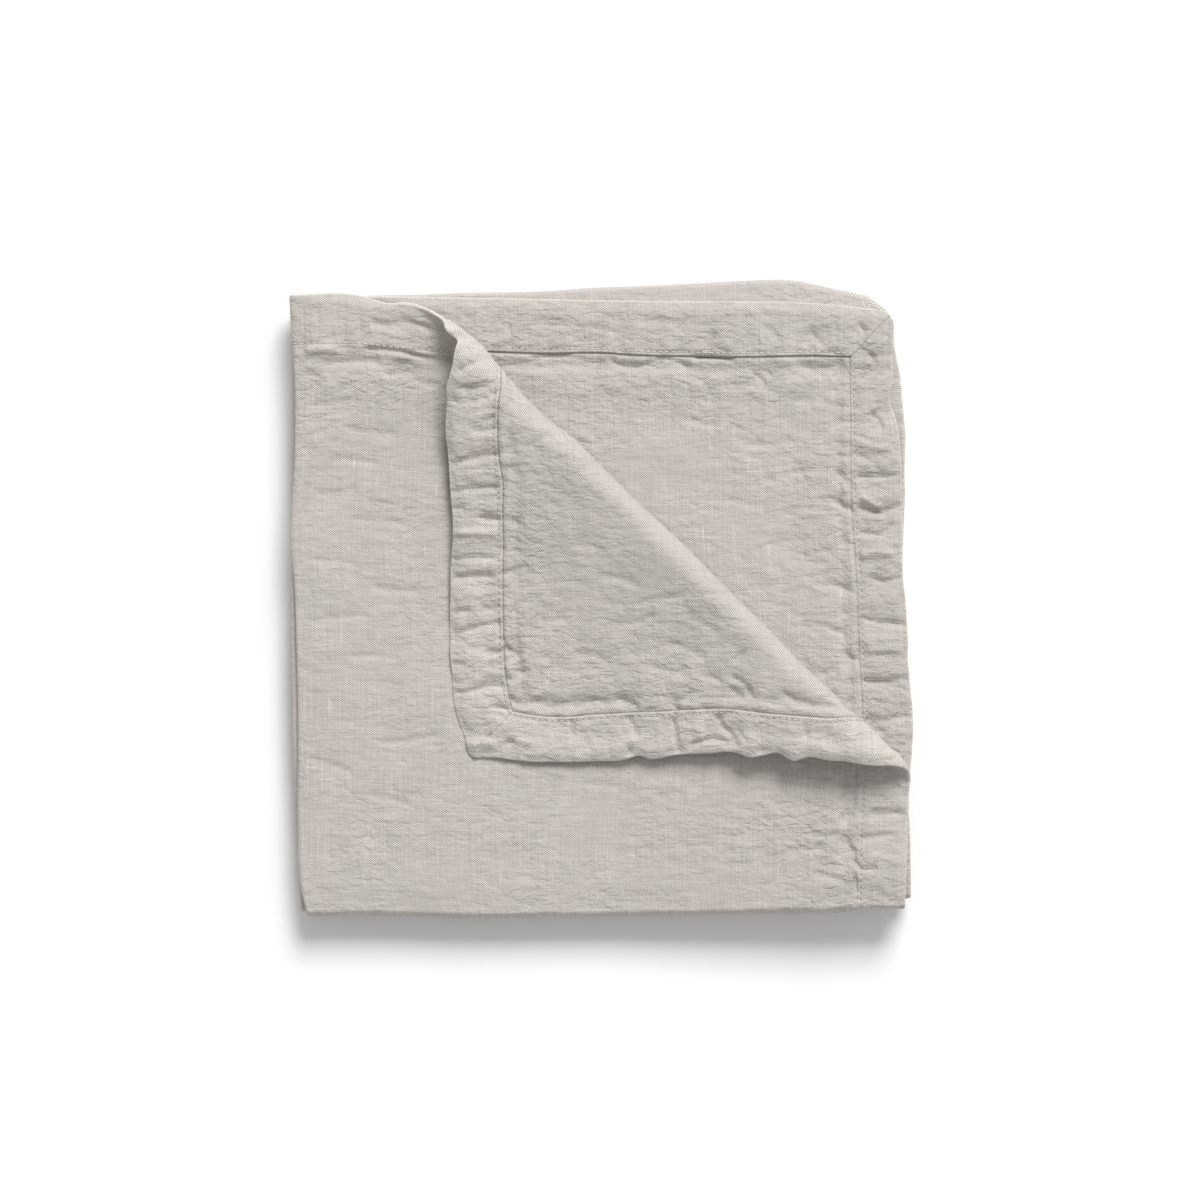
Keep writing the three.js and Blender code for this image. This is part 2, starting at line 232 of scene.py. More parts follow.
# The washed cloth's unevenness, each as (height, size): slow swells, fine ripples and crumples,
# how much of the last two is left far from a hem, and how a crumple runs
SWELLS = ((0.3, 34), (0.2, 15))
RIPPLES = ((0.14, 7.5), (0.1, 4.2))
CRUMPLES = ((0.35, 11), (0.28, 8))
RIPPLES_LEFT = 0.6
CRUMPLES_LEFT = 0.35
NEAR_HEM = 30
CRUMPLE_WIDTH = 0.16
CRUMPLE_SLANTS = (0.35, 0.2)
CRUMPLE_PATCH = 1.4
CRUMPLE_FADE = (0.05, 0.5)

# The gather beside a seam, by distance in from the hem's edge: its ripples as (height, size,
# slant), how they come and go, the puffed ridge and the trough behind it as (place, half width),
# and how uneven both are
GATHER = ((0.4, 6.5, 0.12), (0.24, 3.6, 0.2))
GATHER_COMES = (-4, 10)
GATHER_GOES = (20, 34)
PUFF = (21.9, 1.25)
BEHIND_PUFF = (25.6, 1.5)
BEHIND_DEPTH = 0.7
WANDER, WANDER_SIZE = 0.9, 7
PUFF_MEAN, PUFF_CHANGE, PUFF_SIZE = 0.78, 0.34, 9

# How the cloth lifts from the rim to its hem and to its body, and how that comes in
RIM_LIFT = 0.45
HEM_LIFT = 1.35
HEM_LIFT_FADE = (0, 4)
BODY_LIFT = -1.15
BODY_LIFT_FADE = (28, 44)

# How far in from a rim the covered side follows the side that shows, and where the relief comes
# in, away from the crosswise fold and from the lengthwise fold
RIM_FADE = (1, 7)
BEND_FADE = (0, 12)
SIDE_FOLD_FADE = (1, 10)

# The turned corner: the turn at which its relief comes in, its floor and how that deepens round
# the roll, and its rims' curl, up along the side and down along the end
FLAP_TURN = (1.0, 1.9)
FLAP_FLOOR = -0.35
ROLL_FLOOR = -0.4
ROLL_FADE = (4.6, 4.2)
SIDE_CURL = 1.1
SIDE_CURL_FADE = (12, 0)
SIDE_CURL_START = (3, 15)
END_CURL = 0.7
END_CURL_FADE = (8, 0)

# The top layer and the second layer: where their relief comes in, their floors, and the top one's
# step over its own hem
TOP_TURN = (0.4, 1.2)
OPEN_BY_FLAP = (-6, 4)
OPEN_BY_FOLD = (-9, -2)
TOP_FLOOR = -0.1
TOP_BODY_FLOOR = -0.5
TOP_FLOOR_FADE = (25, 40)
SECOND_FLOOR = -0.3
HEM_STEP = 0.5
HEM_STEP_FADE = (19.2, 21.4)

# The stitches: each one's length, its thread's radius and how deep it is sunk, the stations along
# it from its middle, and the sides of its section
STITCH_LENGTH = 2.15
THREAD = 0.2
THREAD_SUNK = 0.35
STATIONS = np.array((-0.5, -0.36, 0.0, 0.36, 0.5))
THREAD_SIDES = 6

# A pattern that is the same size every way
EVEN = (1, 1, 1)

# Creases and puckers, listed in packet millimetres. Each is the x and y where it starts, the x
# and y where it ends, how far its middle bows to the left of that way, its depth (a ridge's is
# negative) and its half width.
FLAP_CREASES = (
    (66, 219.5, 74.5, 222.5, 0.5, 0.5, 1.4), (66.5, 213.6, 82, 214.8, -0.8, 0.55, 1.1),
    (69, 211.2, 82, 212, 0, 0.35, 0.9), (64, 208.4, 81.5, 210.6, -1.5, 0.6, 1.3),
    (76.5, 200, 82, 201.8, 0, 0.45, 1), (72.5, 195.2, 82, 196.4, 0.3, 0.4, 1.2),
    (63.5, 182.2, 70.5, 184.3, 0.2, 0.6, 1.2), (70, 184.6, 82.5, 186.3, 0.4, 0.85, 1.1),
    (63.5, 171.2, 82.5, 173.6, 0.4, 0.85, 1.3), (64, 164.6, 69, 165.2, 0, 0.4, 1.1),
    (74, 161.4, 83.5, 160.3, 0, 0.55, 1), (63.5, 154.8, 82, 155, 0.4, -0.35, 1.8),
    (63.5, 144.2, 83, 144.6, 0.5, 0.4, 1.3), (64.5, 136.6, 80.5, 137.3, 0.5, 0.75, 1.5),
    (76, 123.6, 83, 125.3, 0.2, 0.5, 0.9), (64, 122.7, 71, 123.4, 0.2, 0.45, 1.1),
    (63.5, 112.8, 75, 117, 0.3, 0.6, 1.2), (75, 117.2, 83, 118.6, -0.3, 0.75, 1.1),
    (76.5, 106.6, 83, 106.3, 0, 0.65, 0.8), (64, 101.8, 68.5, 102.2, 0, 0.4, 1),
    (65, 90, 74, 91.6, -0.4, 0.6, 1.4), (74, 91.4, 84.5, 93, 0.5, 0.6, 1.2),
    (79, 84, 86, 82.9, 0.8, 0.5, 1), (68, 71.7, 79.5, 72.6, 0.3, 1.4, 1.4),
    (68.6, 68.6, 80.5, 69.6, 0.3, -0.5, 2), (74.5, 65, 84, 66.2, -0.5, 1.2, 1.4),
    (84, 66.2, 88.2, 70.6, 0.6, 1.1, 1.3), (93.5, 69.5, 91, 63.6, 0.5, 0.3, 1.1),
    (112, 79, 112.6, 71.5, 0, 0.4, 1.1), (135.3, 80.6, 138.5, 72.4, 0.3, 0.75, 0.9),
    (135.4, 68.2, 136.5, 65.6, 0, 0.8, 1.2), (153, 80.2, 155.4, 66.2, 0.4, 0.8, 0.9),
    (171, 81.2, 174.4, 75.6, -0.3, 0.7, 1), (174.4, 75.6, 179.4, 68.6, 0.5, 0.8, 1.1),
    (159.5, 68.8, 178.4, 68.8, 2.6, 0.65, 1.4), (186.5, 66.6, 196.5, 66.3, 0.8, 0.7, 1.4),
    (196.5, 66.3, 199.8, 63.8, 0, 0.6, 1.3), (206, 78, 206.8, 72, 0, 0.4, 1.2),
    (215, 77, 214, 70, 0, 0.35, 1.3), (87.2, 88.4, 91.3, 85.2, -0.5, 0.9, 1),
    (91.3, 85.2, 94, 84.4, 0, 0.8, 1), (94, 84.4, 98.2, 87.2, 0.2, 0.6, 1),
    (98.2, 87.2, 102.6, 83.9, 0.2, 0.8, 1), (102.6, 83.9, 106, 85.2, 0, 0.6, 0.9),
    (111, 85.1, 114.4, 84.2, 0.2, 0.7, 1), (114.4, 84.2, 121.2, 87.6, 0.4, 0.6, 1.1),
    (121.2, 87.6, 127.4, 85, 0.2, 0.45, 1.1), (130.2, 88.4, 139.6, 84.2, 0.3, 0.7, 1.1),
    (151.8, 85.5, 156.2, 84.1, 0, 0.6, 0.9), (176.2, 92.6, 180.8, 87.5, 0, 0.6, 1.1),
    (178.2, 103, 182, 107.6, 0.3, 0.6, 1.1), (176.2, 97.2, 182.6, 93.6, 0.2, 0.65, 1.2),
    (182.6, 93.6, 184.4, 88.9, 0, 0.6, 1.2), (207.8, 84.2, 212.3, 85.7, 0.2, 0.6, 1),
    (212.3, 85.7, 219.9, 82.4, 0.4, 0.55, 1.1), (196, 91, 202.5, 86.5, 0.5, 0.4, 1.3),
    (85.5, 109.4, 90.4, 104.8, -0.6, 0.85, 1), (90.3, 96.8, 93.8, 99.7, 0.2, 0.6, 1.1),
    (85.5, 96, 89, 94.5, 0, 0.5, 1), (98, 122.4, 102.4, 118.2, -0.4, 0.5, 1.3),
    (102.4, 118.2, 110.2, 119.9, 0.4, 0.35, 1.5), (85.6, 138.6, 94.8, 141.4, 0.4, 0.45, 1.3),
    (85.5, 161, 92, 157, 0.4, 0.35, 1.4), (112, 150, 126, 146.5, 1, 0.3, 1.6),
    (123, 137, 139, 133, 1.2, 0.35, 1.6), (128, 118, 146, 121.5, -1.4, 0.4, 1.7),
    (139, 126, 158, 128.5, 1, 0.35, 1.5), (150, 110, 166, 104.5, 0.8, 0.45, 1.6),
    (146, 100, 158, 99, -0.8, 0.4, 1.4), (160, 120, 171, 113.5, 0.5, 0.4, 1.5),
    (164, 97.5, 173, 94.5, 0.5, 0.45, 1.4), (112, 106, 127, 102.5, 1, 0.25, 1.8),
    (100, 104, 108, 109, -0.5, 0.25, 1.6),
)
TOP_CREASES = (
    (29, 229.2, 43.5, 228.2, 0.3, 0.5, 1.1), (43.5, 228.2, 50.4, 226.2, 0, 0.7, 1.1),
    (50.4, 226.2, 64.5, 225, -0.6, 0.8, 1.2), (1, 227.8, 16, 229, 0.8, -0.35, 1.6),
    (12, 223, 34, 224.2, 0.6, 0.4, 1.6), (36, 219, 50, 220.5, -0.8, 0.45, 1.6),
    (41, 226, 49, 224, 0.4, -0.3, 1.3), (46, 217.6, 57.5, 214.5, -0.6, 0.4, 1.7),
    (2.5, 219.6, 10, 218.4, 0, 0.35, 1.4), (30.3, 240.8, 39.3, 238.4, -0.3, 0.5, 1.6),
    (39.3, 238.4, 45, 240.2, 0.4, 0.45, 1.5), (45, 240.2, 56, 237.6, 0.6, 0.4, 1.8),
    (6, 206, 26, 207.5, 0.8, 0.3, 1.7), (20, 197.5, 41, 195, -0.8, 0.28, 1.8),
    (14, 184.5, 34, 182.6, 0.8, 0.28, 1.7), (8, 171, 24, 172.6, -0.6, 0.25, 1.6),
    (24, 160, 46, 157.4, 1, 0.25, 1.8), (7, 143.6, 25, 141.8, 0.6, 0.22, 1.6),
    (31, 133, 54, 131.2, -0.8, 0.25, 1.7), (6, 118.2, 30, 121.2, 0.8, 0.25, 1.8),
    (22, 104.8, 42, 103.6, 0.5, 0.25, 1.6), (5, 62.6, 22, 57.6, 1, 0.32, 1.8),
    (34, 70, 58, 73.4, -1, 0.3, 1.8), (30, 48.6, 46, 44.2, 0.6, 0.25, 1.6),
    (118, 53, 132, 52, 0, 0.3, 1.5), (227.8, 61.5, 226.6, 51.8, 0.3, 0.6, 1.1),
    (226.6, 51.8, 225.4, 40.8, 0.3, 0.6, 1), (220.7, 37.6, 225.4, 40.8, 0.2, 0.8, 0.9),
    (222, 32.4, 226.2, 26.4, -0.5, 0.8, 1), (226.2, 26.4, 225, 22.6, 0.3, 0.7, 1),
    (225, 22.6, 228.4, 19.6, 0.3, 0.7, 1), (228.4, 19.4, 235.6, 19.6, -0.6, 0.7, 1.2),
    (218.2, 24.8, 223.4, 22, 0.3, 0.4, 1.1), (226, 18, 226.6, 9, 0.3, 0.5, 1),
    (233, 40.8, 246, 41.2, 0.4, 0.6, 1.6), (177.8, 58.6, 184, 55.6, 0, 0.5, 1.3),
    (184, 55.6, 202, 53, 0.5, 0.3, 1.4), (202, 53, 226, 53.2, -0.6, 0.4, 1.4),
    (229, 30.6, 243, 32.6, 0.4, 0.3, 1.6), (218, 7, 222.4, 4.4, 0.3, 0.6, 1),
    (222.4, 4.4, 224.4, 9, 0, 0.6, 1), (224.4, 9, 228, 10.8, 0, 0.5, 1),
    (216, 8.4, 223, 5.6, 0.3, 0.35, 1.2), (212, 16.4, 222, 13.6, 0.4, 0.35, 1.3),
    (208, 31.6, 220, 33.4, -0.5, 0.3, 1.4), (196, 24.2, 214, 26.8, 0.5, 0.25, 1.5),
)
SECOND_CREASES = (
    (126, 225.6, 133, 222.6, 0.4, 0.5, 1.2), (133, 222.6, 149, 225.6, -0.9, 0.45, 1.3),
    (149, 225.2, 160, 222.4, 0.6, 0.45, 1.2), (95, 225.4, 112, 226, 0.6, 0.45, 1.3),
    (112, 226, 124, 224.6, -0.4, 0.4, 1.2), (162, 225.6, 178, 224.6, 0.7, 0.45, 1.2),
    (185.5, 219.2, 190.2, 215.8, 0.2, 0.7, 1), (204.2, 222.8, 211.4, 220.4, -0.3, 0.75, 1),
    (211.4, 220.4, 217.2, 222, 0.3, 0.7, 1), (217.2, 222, 221.6, 224.8, 0.2, 0.6, 1),
    (218, 217.2, 222.6, 222.2, 0.2, 0.55, 1), (172.5, 213.4, 184.8, 214.2, 0.8, 0.3, 1.5),
    (184.8, 214.2, 196, 211, 0.4, 0.25, 1.5), (200.2, 178.2, 211.4, 180, 0.6, 0.35, 1.3),
    (211.4, 180, 218, 181.4, -0.3, 0.3, 1.2), (218.8, 180, 223.6, 175.4, 0.3, 0.45, 1.2),
    (217, 168.2, 225.4, 163.4, 0.3, 0.45, 1.3), (166.8, 229.2, 170.6, 235.8, 0.2, 0.45, 1.1),
    (208.4, 236.8, 213.4, 230.2, 0.3, 0.6, 1.1), (206, 231, 208.4, 236.6, 0.3, 0.45, 1.2),
    (190, 238.4, 196, 233, 0.6, 0.35, 1.3), (120, 238.4, 131, 235.4, 0.4, 0.3, 1.4),
    (140, 241.4, 157, 238.6, 0.8, 0.25, 1.6), (98, 240.6, 110, 238.6, 0.4, 0.25, 1.5),
    (227.8, 239.2, 231.4, 235.4, 0.2, 0.5, 1), (232.8, 227.4, 234.4, 220.2, 0.8, 0.7, 1),
    (234.4, 220.2, 228.6, 217.8, 0.4, 0.6, 1), (236, 217.4, 241.4, 222, 0.4, 0.5, 1.1),
    (241.4, 222, 241.2, 229.4, -0.4, 0.45, 1.1), (235.6, 204.4, 242.4, 203.2, 0.2, 0.8, 1),
    (233.6, 203.4, 237.4, 197, 0.3, 0.7, 1), (227.6, 190, 241, 188.4, 0.6, -0.3, 1.8),
    (227.4, 177.2, 232, 177.8, 0.2, 0.75, 1), (232, 177.8, 243.8, 178.6, -0.7, 0.6, 1.2),
    (228.4, 169.6, 237.6, 164.2, 0.3, -0.45, 1.7), (227.6, 165.2, 237.6, 163, -0.2, 0.6, 1.5),
    (237.6, 163, 244.8, 165.6, 0.4, 0.6, 1.4), (228.6, 154.8, 237.6, 153.8, 0.2, 0.55, 1.2),
    (237.6, 153.8, 242.4, 158.8, 0.2, 0.35, 1.3), (229, 145.2, 242, 146.4, 0.8, -0.35, 1.9),
    (232.4, 136.8, 238.8, 134.8, 0.2, 0.6, 1.3), (238.8, 134.8, 246, 136.6, 0.3, 0.5, 1.3),
    (229.4, 120.6, 235, 118.6, 0.2, 0.5, 1.2), (235, 118.6, 247.6, 117.2, 0.5, 0.6, 1.2),
    (231, 106.6, 246, 107.4, 0.6, -0.35, 1.9), (230.4, 95, 241.2, 94.5, -0.2, 0.75, 1.1),
    (241.2, 94.5, 248.4, 96.2, 0.3, 0.35, 1.4), (231, 78.8, 238.6, 78.4, -0.2, 0.85, 1.1),
    (238.6, 78.4, 247.8, 80.6, 0.4, 0.8, 1.1), (232.6, 74.8, 239.4, 74.4, 0, 0.5, 1.1),
    (221.6, 105.8, 228, 102.8, 0.2, 0.6, 1), (212.6, 97.2, 220, 98.6, 0.4, 0.45, 1.2),
    (210, 118, 222, 113.6, 0.6, 0.35, 1.3), (216, 134, 226, 131, 0.4, 0.35, 1.3),
    (205, 146, 218, 148.4, -0.5, 0.28, 1.5), (150, 201, 170, 198, 0.9, 0.2, 1.7),
    (182, 190, 202, 192.6, -0.9, 0.22, 1.7), (168, 168, 186, 165.6, 0.8, 0.2, 1.7),
    (190, 150, 204, 153, -0.6, 0.22, 1.6),
)


def smooth_step(value, start, end):
    """0 before start and 1 after end, by 3t^2 - 2t^3 between them."""
    part = np.clip((value - start) / (end - start), 0, 1)
    return part * part * (3 - 2 * part)


def soft_floor(value, floor, bend=0.12):
    """The value, but never under the floor: floor + bend * ln(1 + e^((value - floor) / bend))."""
    return floor + bend * np.logaddexp(0, (value - floor) / bend)


def hump(distance, half_width):
    """A bell, e^-(distance / half width)^2."""
    return np.exp(-((distance / half_width) ** 2))


def trough(distance, shape):
    """The bell of a trough's shape, a depth and a half width: depth * e^-(distance / width)^2."""
    depth, half_width = shape
    return depth * hump(distance, half_width)


def curve_through(rows, column=1):
    """A smooth curve of a table's first column, level past its ends.

    Between two rows it is the cubic with their values and slopes. A row's slope is the mean of
    the slopes to its two neighbours, each weighted by the gap on the other side.
    """
    table = np.array(rows, float)
    places = table[:, 0]
    values = table[:, column]
    gaps = np.diff(places)
    slopes = np.diff(values) / gaps
    inner = (slopes[:-1] * gaps[1:] + slopes[1:] * gaps[:-1]) / (gaps[:-1] + gaps[1:])
    tangents = np.concatenate((slopes[:1], inner, slopes[-1:]))

    def curve(place):
        held = np.clip(place, places[0], places[-1])
        row = np.clip(np.searchsorted(places, held) - 1, 0, len(gaps) - 1)
        gap = gaps[row]
        part = (held - places[row]) / gap
        left = 1 - part
        return (
            (1 + 2 * part) * left**2 * values[row]
            + part * left**2 * gap * tangents[row]
            + part**2 * (3 - 2 * part) * values[row + 1]
            - part**2 * left * gap * tangents[row + 1]
        )

    return curve


def smooth_noise(x, y, size, seed):
    """A random field from -1 to 1: seeded random numbers on a square net with knots `size` apart,
    blended between the knots by 6t^5 - 15t^4 + 10t^3."""
    knots = 64
    net = np.random.default_rng(seed).uniform(-1, 1, (knots, knots))
    column = np.floor(x / size).astype(int)
    row = np.floor(y / size).astype(int)
    right = x / size - column
    up = y / size - row
    right = right**3 * (right * (right * 6 - 15) + 10)
    up = up**3 * (up * (up * 6 - 15) + 10)
    columns = (column % knots, (column + 1) % knots)
    rows = (row % knots, (row + 1) % knots)
    low = net[rows[0], columns[0]] * (1 - right) + net[rows[0], columns[1]] * right
    high = net[rows[1], columns[0]] * (1 - right) + net[rows[1], columns[1]] * right
    return low * (1 - up) + high * up


EDGES = [
    curve_through(rows)
    for rows in (
        TOP_HEM, FIRST_BOTTOM_FOLD, FIRST_TOP_FOLD, SECOND_BOTTOM_FOLD,
        SECOND_TOP_FOLD, THIRD_BOTTOM_FOLD, LAST_HEM,
    )
]
TURNED_EDGE = curve_through(TURNED_TOP_HEM)
FOLD_CURVES = [curve_through(rows) for rows in FOLD_SIDES]
HEM_CURVES = [curve_through(rows) for rows in HEM_SIDES]
TURNED_SIDE = curve_through(TURNED_LONG_HEM)
FOLD_BULGE = curve_through(FOLD_SHAPE, 1)
FOLD_RADIUS = curve_through(FOLD_SHAPE, 2)
FOLD_OVER = curve_through(FOLD_SHAPE, 3)
TOP_LINE = curve_through(TOP_HEM_LINE)
TOP_SIDE = curve_through(TOP_SIDE_LINE)
SECOND_LINE = curve_through(SECOND_HEM_LINE)
SECOND_SIDE = curve_through(SECOND_SIDE_LINE)


def by_section(section, curves, place):
    """Each place on the curve of its own section."""
    return np.choose(section, [curve(place) for curve in curves])


def ply_offset(section, x, y):
    """How far a ply stands off its section's middle: half the layer spacing, more over the hems,
    and slack that waves along x and y and vanishes at the crosswise folds."""
    over_long = np.clip((x - LONG_HEM_RAMP[0]) / (LONG_HEM_RAMP[1] - LONG_HEM_RAMP[0]), 0, 1)
    has_end_hem = (section == 0) | (section == SECTIONS - 1)
    over_end = np.clip((y - END_HEM_RAMP[0]) / (END_HEM_RAMP[1] - END_HEM_RAMP[0]), 0, 1)
    over_end = np.where(has_end_hem, over_end, 0)
    over_hems = over_long + over_end - over_long * over_end
    turn = section * WAVE_TURN
    wave = np.sin(2 * math.pi * x / WAVE_ACROSS + turn)
    wave = wave * np.sin(2 * math.pi * y / WAVE_UP - turn)
    between_folds = np.sin(math.pi * np.clip(y / PACKET_DEPTH, 0, 1)) ** 2
    slack = np.array(SECTION_SLACK)[section] * between_folds * (1 + wave) / 2
    return PLY_SPACING + HEM_SPREAD * over_hems + slack


def middle_height(section, x, y):
    """Height of a section's middle: the layers below it, from the one on the table up."""
    height = HALF_LAYER + ply_offset(SECTIONS - 1, x, y)
    for below in range(SECTIONS - 1, 0, -1):
        step = ply_offset(below, x, y) + ply_offset(below - 1, x, y) + LAYER_SPACING
        height = height + np.where(below > section, step, 0)
    return height


def run_end(edge, on_top, across, x):
    """Where a straight run ends: at its hem, or a bend's depth short of its fold."""
    height = by_section(edge, EDGES, across)
    height = np.where(on_top & (edge == 0), TURNED_EDGE(across), height)
    bend_depth = 2 * ply_offset(np.maximum(edge - 1, 0), x, height) + PLY_SPACING
    bend_depth = BEND_SQUASH * bend_depth + HALF_LAYER
    at_hem = (edge == 0) | (edge == SECTIONS)
    return height + np.where(at_hem, 0, np.where(edge % 2 == 1, bend_depth, -bend_depth))


def packet_place(across, down):
    """The cloth's middle in the packet, before the corner is turned.

    Along the cloth a section runs straight between its two crosswise edges, then half a circle,
    pressed to a flatter oval, leads into the next one. Across it, a quarter circle leads from the
    lengthwise fold into each ply, which runs on to its long hem. Near a hem's edge the place
    follows the edge's curve, and further in the curve that runs true to the seam.
    """
    side = np.where(across < 0, -1, 1)
    out = np.abs(across)
    on_top = side > 0
    section = np.clip(np.floor(down / STRIDE), 0, SECTIONS - 1).astype(int)
    down_section = down - section * STRIDE
    run = np.minimum(down_section / SECTION_LENGTH, 1)
    bend_turn = np.maximum(down_section - SECTION_LENGTH, 0) / BEND_LENGTH * math.pi
    runs_down = section % 2 == 0
    up = PACKET_DEPTH * np.where(runs_down, 1 - run, run)

    first = (section == 0) & on_top
    second = (section == 0) & ~on_top
    start = run_end(section, on_top, out, out)
    true_start = np.where(first, TOP_LINE(out), np.where(second, SECOND_LINE(out), start))
    wobble = WOBBLE * smooth_noise(out, side * NOISE_GAP, size=WOBBLE_SIZE, seed=31)
    start = start + wobble * first
    start = start + (true_start - start) * smooth_step(down, *TRUE_LINES)
    end = run_end(section + 1, on_top, out, out)
    y = start + (end - start) * run
    offset = ply_offset(section, out, y)
    fold_arc = math.pi / 2 * offset
    left = by_section(section, FOLD_CURVES, up) + HALF_LAYER
    right = by_section(section, HEM_CURVES, up)
    right = np.where(first, TURNED_SIDE(up), right)
    true_side = np.where(first, TOP_SIDE(up), np.where(second, SECOND_SIDE(up), right))
    strip = side * NOISE_GAP + section * SECTION_GAP
    right = right + WOBBLE * smooth_noise(up, strip, size=WOBBLE_SIZE, seed=32)
    right = right + (true_side - right) * smooth_step(HALF_WIDTH - out, *TRUE_LINES)
    stretch = (right - left - offset) / (HALF_WIDTH - fold_arc)
    fold_turn = np.minimum(out / offset, math.pi / 2)
    x = left + offset * (1 - np.cos(fold_turn)) + np.maximum(out - fold_arc, 0) * stretch
    stand = side * ply_offset(section, x, y) * np.sin(fold_turn)
    middle = middle_height(section, x, y)

    below = middle_height(np.minimum(section + 1, SECTIONS - 1), x, y)
    radius = (middle - below) / 2
    reach = np.where(runs_down, -(radius + stand), radius - stand) * np.sin(bend_turn)
    reach = reach * BEND_SQUASH
    lift = np.where(runs_down, radius + stand, radius - stand) * np.cos(bend_turn)
    straight = middle + np.where(runs_down, stand, -stand)
    bent = bend_turn > 0
    return x, np.where(bent, y + reach, y), np.where(bent, middle - radius + lift, straight)


def roll(distance, radius, over):
    """The turned corner's section, by distance along the cloth from the start of its roll: an arc
    a little past half a turn, a long reverse arc that comes down, and a straight rest."""
    roll_length = radius * (math.pi + over)
    turn = np.minimum(distance / radius, math.pi + over)
    arc_out = radius * np.sin(turn)
    arc_height = radius * (1 - np.cos(turn))
    settle = (radius * (1 + np.cos(over)) - REST_HEIGHT) / (1 - np.cos(over))
    settle_turn = np.clip((distance - roll_length) / settle, 0, over)
    flat = np.maximum(distance - roll_length - settle_turn * settle, 0)
    drop = settle * (np.cos(over - settle_turn) - np.cos(over))
    back = settle * (np.sin(over) - np.sin(over - settle_turn))
    return arc_out - back - flat, arc_height - drop


def rounded_corner(across, down):
    """Flat places with each corner of the cloth rounded: near it, the square is drawn on to a
    quarter disc by keeping each place's direction and its greater distance."""
    on_second = (across < 0) & (down < STRIDE)
    round_size = np.where(on_second, SECOND_CORNER_ROUND, CORNER_ROUND)
    to_side, to_end = edge_distances(across, down)
    side = np.maximum(round_size - to_side, 0)
    end = np.maximum(round_size - to_end, 0)
    drawn = 1 - np.maximum(side, end) / np.maximum(np.hypot(side, end), TINY)
    across = across - np.sign(across) * side * drawn
    return across, down + np.where(down < HALF_WIDTH, end, -end) * drawn


def cloth_place(across, down):
    """The cloth's middle surface with the corner turned back over the roll, how far past the start
    of the roll each place is, and that distance over the roll's radius, in radians."""
    across, down = rounded_corner(across, down)
    x, y, z = packet_place(across, down)
    plan = np.stack((x, y), -1) - FOLD_START
    along = plan @ ALONG_FOLD
    radius = FOLD_RADIUS(along)
    roll_start = FOLD_BULGE(along) - radius
    distance = plan @ OUT_OF_FOLD - roll_start
    in_top = (across > 0) & (down <= SECTION_LENGTH)
    turned = in_top & (distance > 0)
    out, height = roll(np.maximum(distance, 0), radius, np.radians(FOLD_OVER(along)))
    place = FOLD_START + along[..., None] * ALONG_FOLD + (roll_start + out)[..., None] * OUT_OF_FOLD
    over_x, over_y = place[..., 0], place[..., 1]
    top = middle_height(0, over_x, over_y) + ply_offset(0, over_x, over_y)
    x = np.where(turned, over_x, x)
    y = np.where(turned, over_y, y)
    z = np.where(turned, top + height, z)
    past = np.where(in_top, distance, 0)
    turn = np.where(turned, distance / radius, 0)
    return np.stack((x, y, z), -1), past, turn


def outward(across, down, step=0.02):
    """The unit normal on the cloth's right side: the slope down the cloth crossed with the slope
    across it, each from two places a step apart."""
    along = cloth_place(across, down + step)[0] - cloth_place(across, down - step)[0]
    sideways = cloth_place(across + step, down)[0] - cloth_place(across - step, down)[0]
    normal = np.cross(along, sideways)
    return normal / np.linalg.norm(normal, axis=-1, keepdims=True)


def edge_distances(across, down):
    """Distances to the nearer long edge and to the nearer end."""
    return HALF_WIDTH - np.abs(across), np.minimum(down, RUNNER_LENGTH - down)


def hem_profile(across, down):
    """Thickness of the cloth and its hem, and the distance in from the edge. The hem's rise ends in
    a quarter-round lip and is lower on the second layer's long side. A seam trough runs inside it,
    and a mitre trough crosses each corner."""
    to_side, to_end = edge_distances(across, down)
    inside = np.minimum(to_side, to_end)
    lip = np.clip((HEM_WIDTH - inside) / LIP_ROUND, 0, 1)
    second_side = smooth_step(to_end - to_side, *LESS_RISE_FADE) * (across < 0)
    rise = (HEM_RISE - LESS_RISE * second_side) * np.sqrt(1 - (1 - lip) ** 2)
    seam = trough(inside - SEAM_INSET, SEAM_TROUGH)
    in_corner = smooth_step(HEM_WIDTH - np.maximum(to_side, to_end), 0, 1)
    mitre = trough(to_side - to_end, MITRE_TROUGH) * in_corner
    return CLOTH + rise - seam - mitre, inside


def creases(rows, x, y):
    """The sum of the listed creases. Each is a trough across its way, (1 - s^2) e^-s^2 for s half
    widths from a bowed line, so that it has low lips, in a shallow bell-shaped hollow, and it
    fades out at both ends. The line's bow is 4t(1 - t) of the given one at t of its length."""
    height = np.zeros_like(x)
    for start_x, start_y, end_x, end_y, bow, depth, half_width in rows:
        way = np.array((end_x - start_x, end_y - start_y))
        length = np.linalg.norm(way)
        way = way / length
        along = (x - start_x) * way[0] + (y - start_y) * way[1]
        part = along / length
        sideways = (y - start_y) * way[0] - (x - start_x) * way[1]
        sideways = sideways - bow * 4 * part * (1 - part)
        s = sideways / max(half_width, LEAST_HALF_WIDTH)
        fade = smooth_step(along, *CREASE_ENDS) * smooth_step(length - along, *CREASE_ENDS)
        section = (1 - s * s) * np.exp(-s * s) + trough(s, HOLLOW)
        height -= CREASE_DEPTH * depth * section * fade
    return height


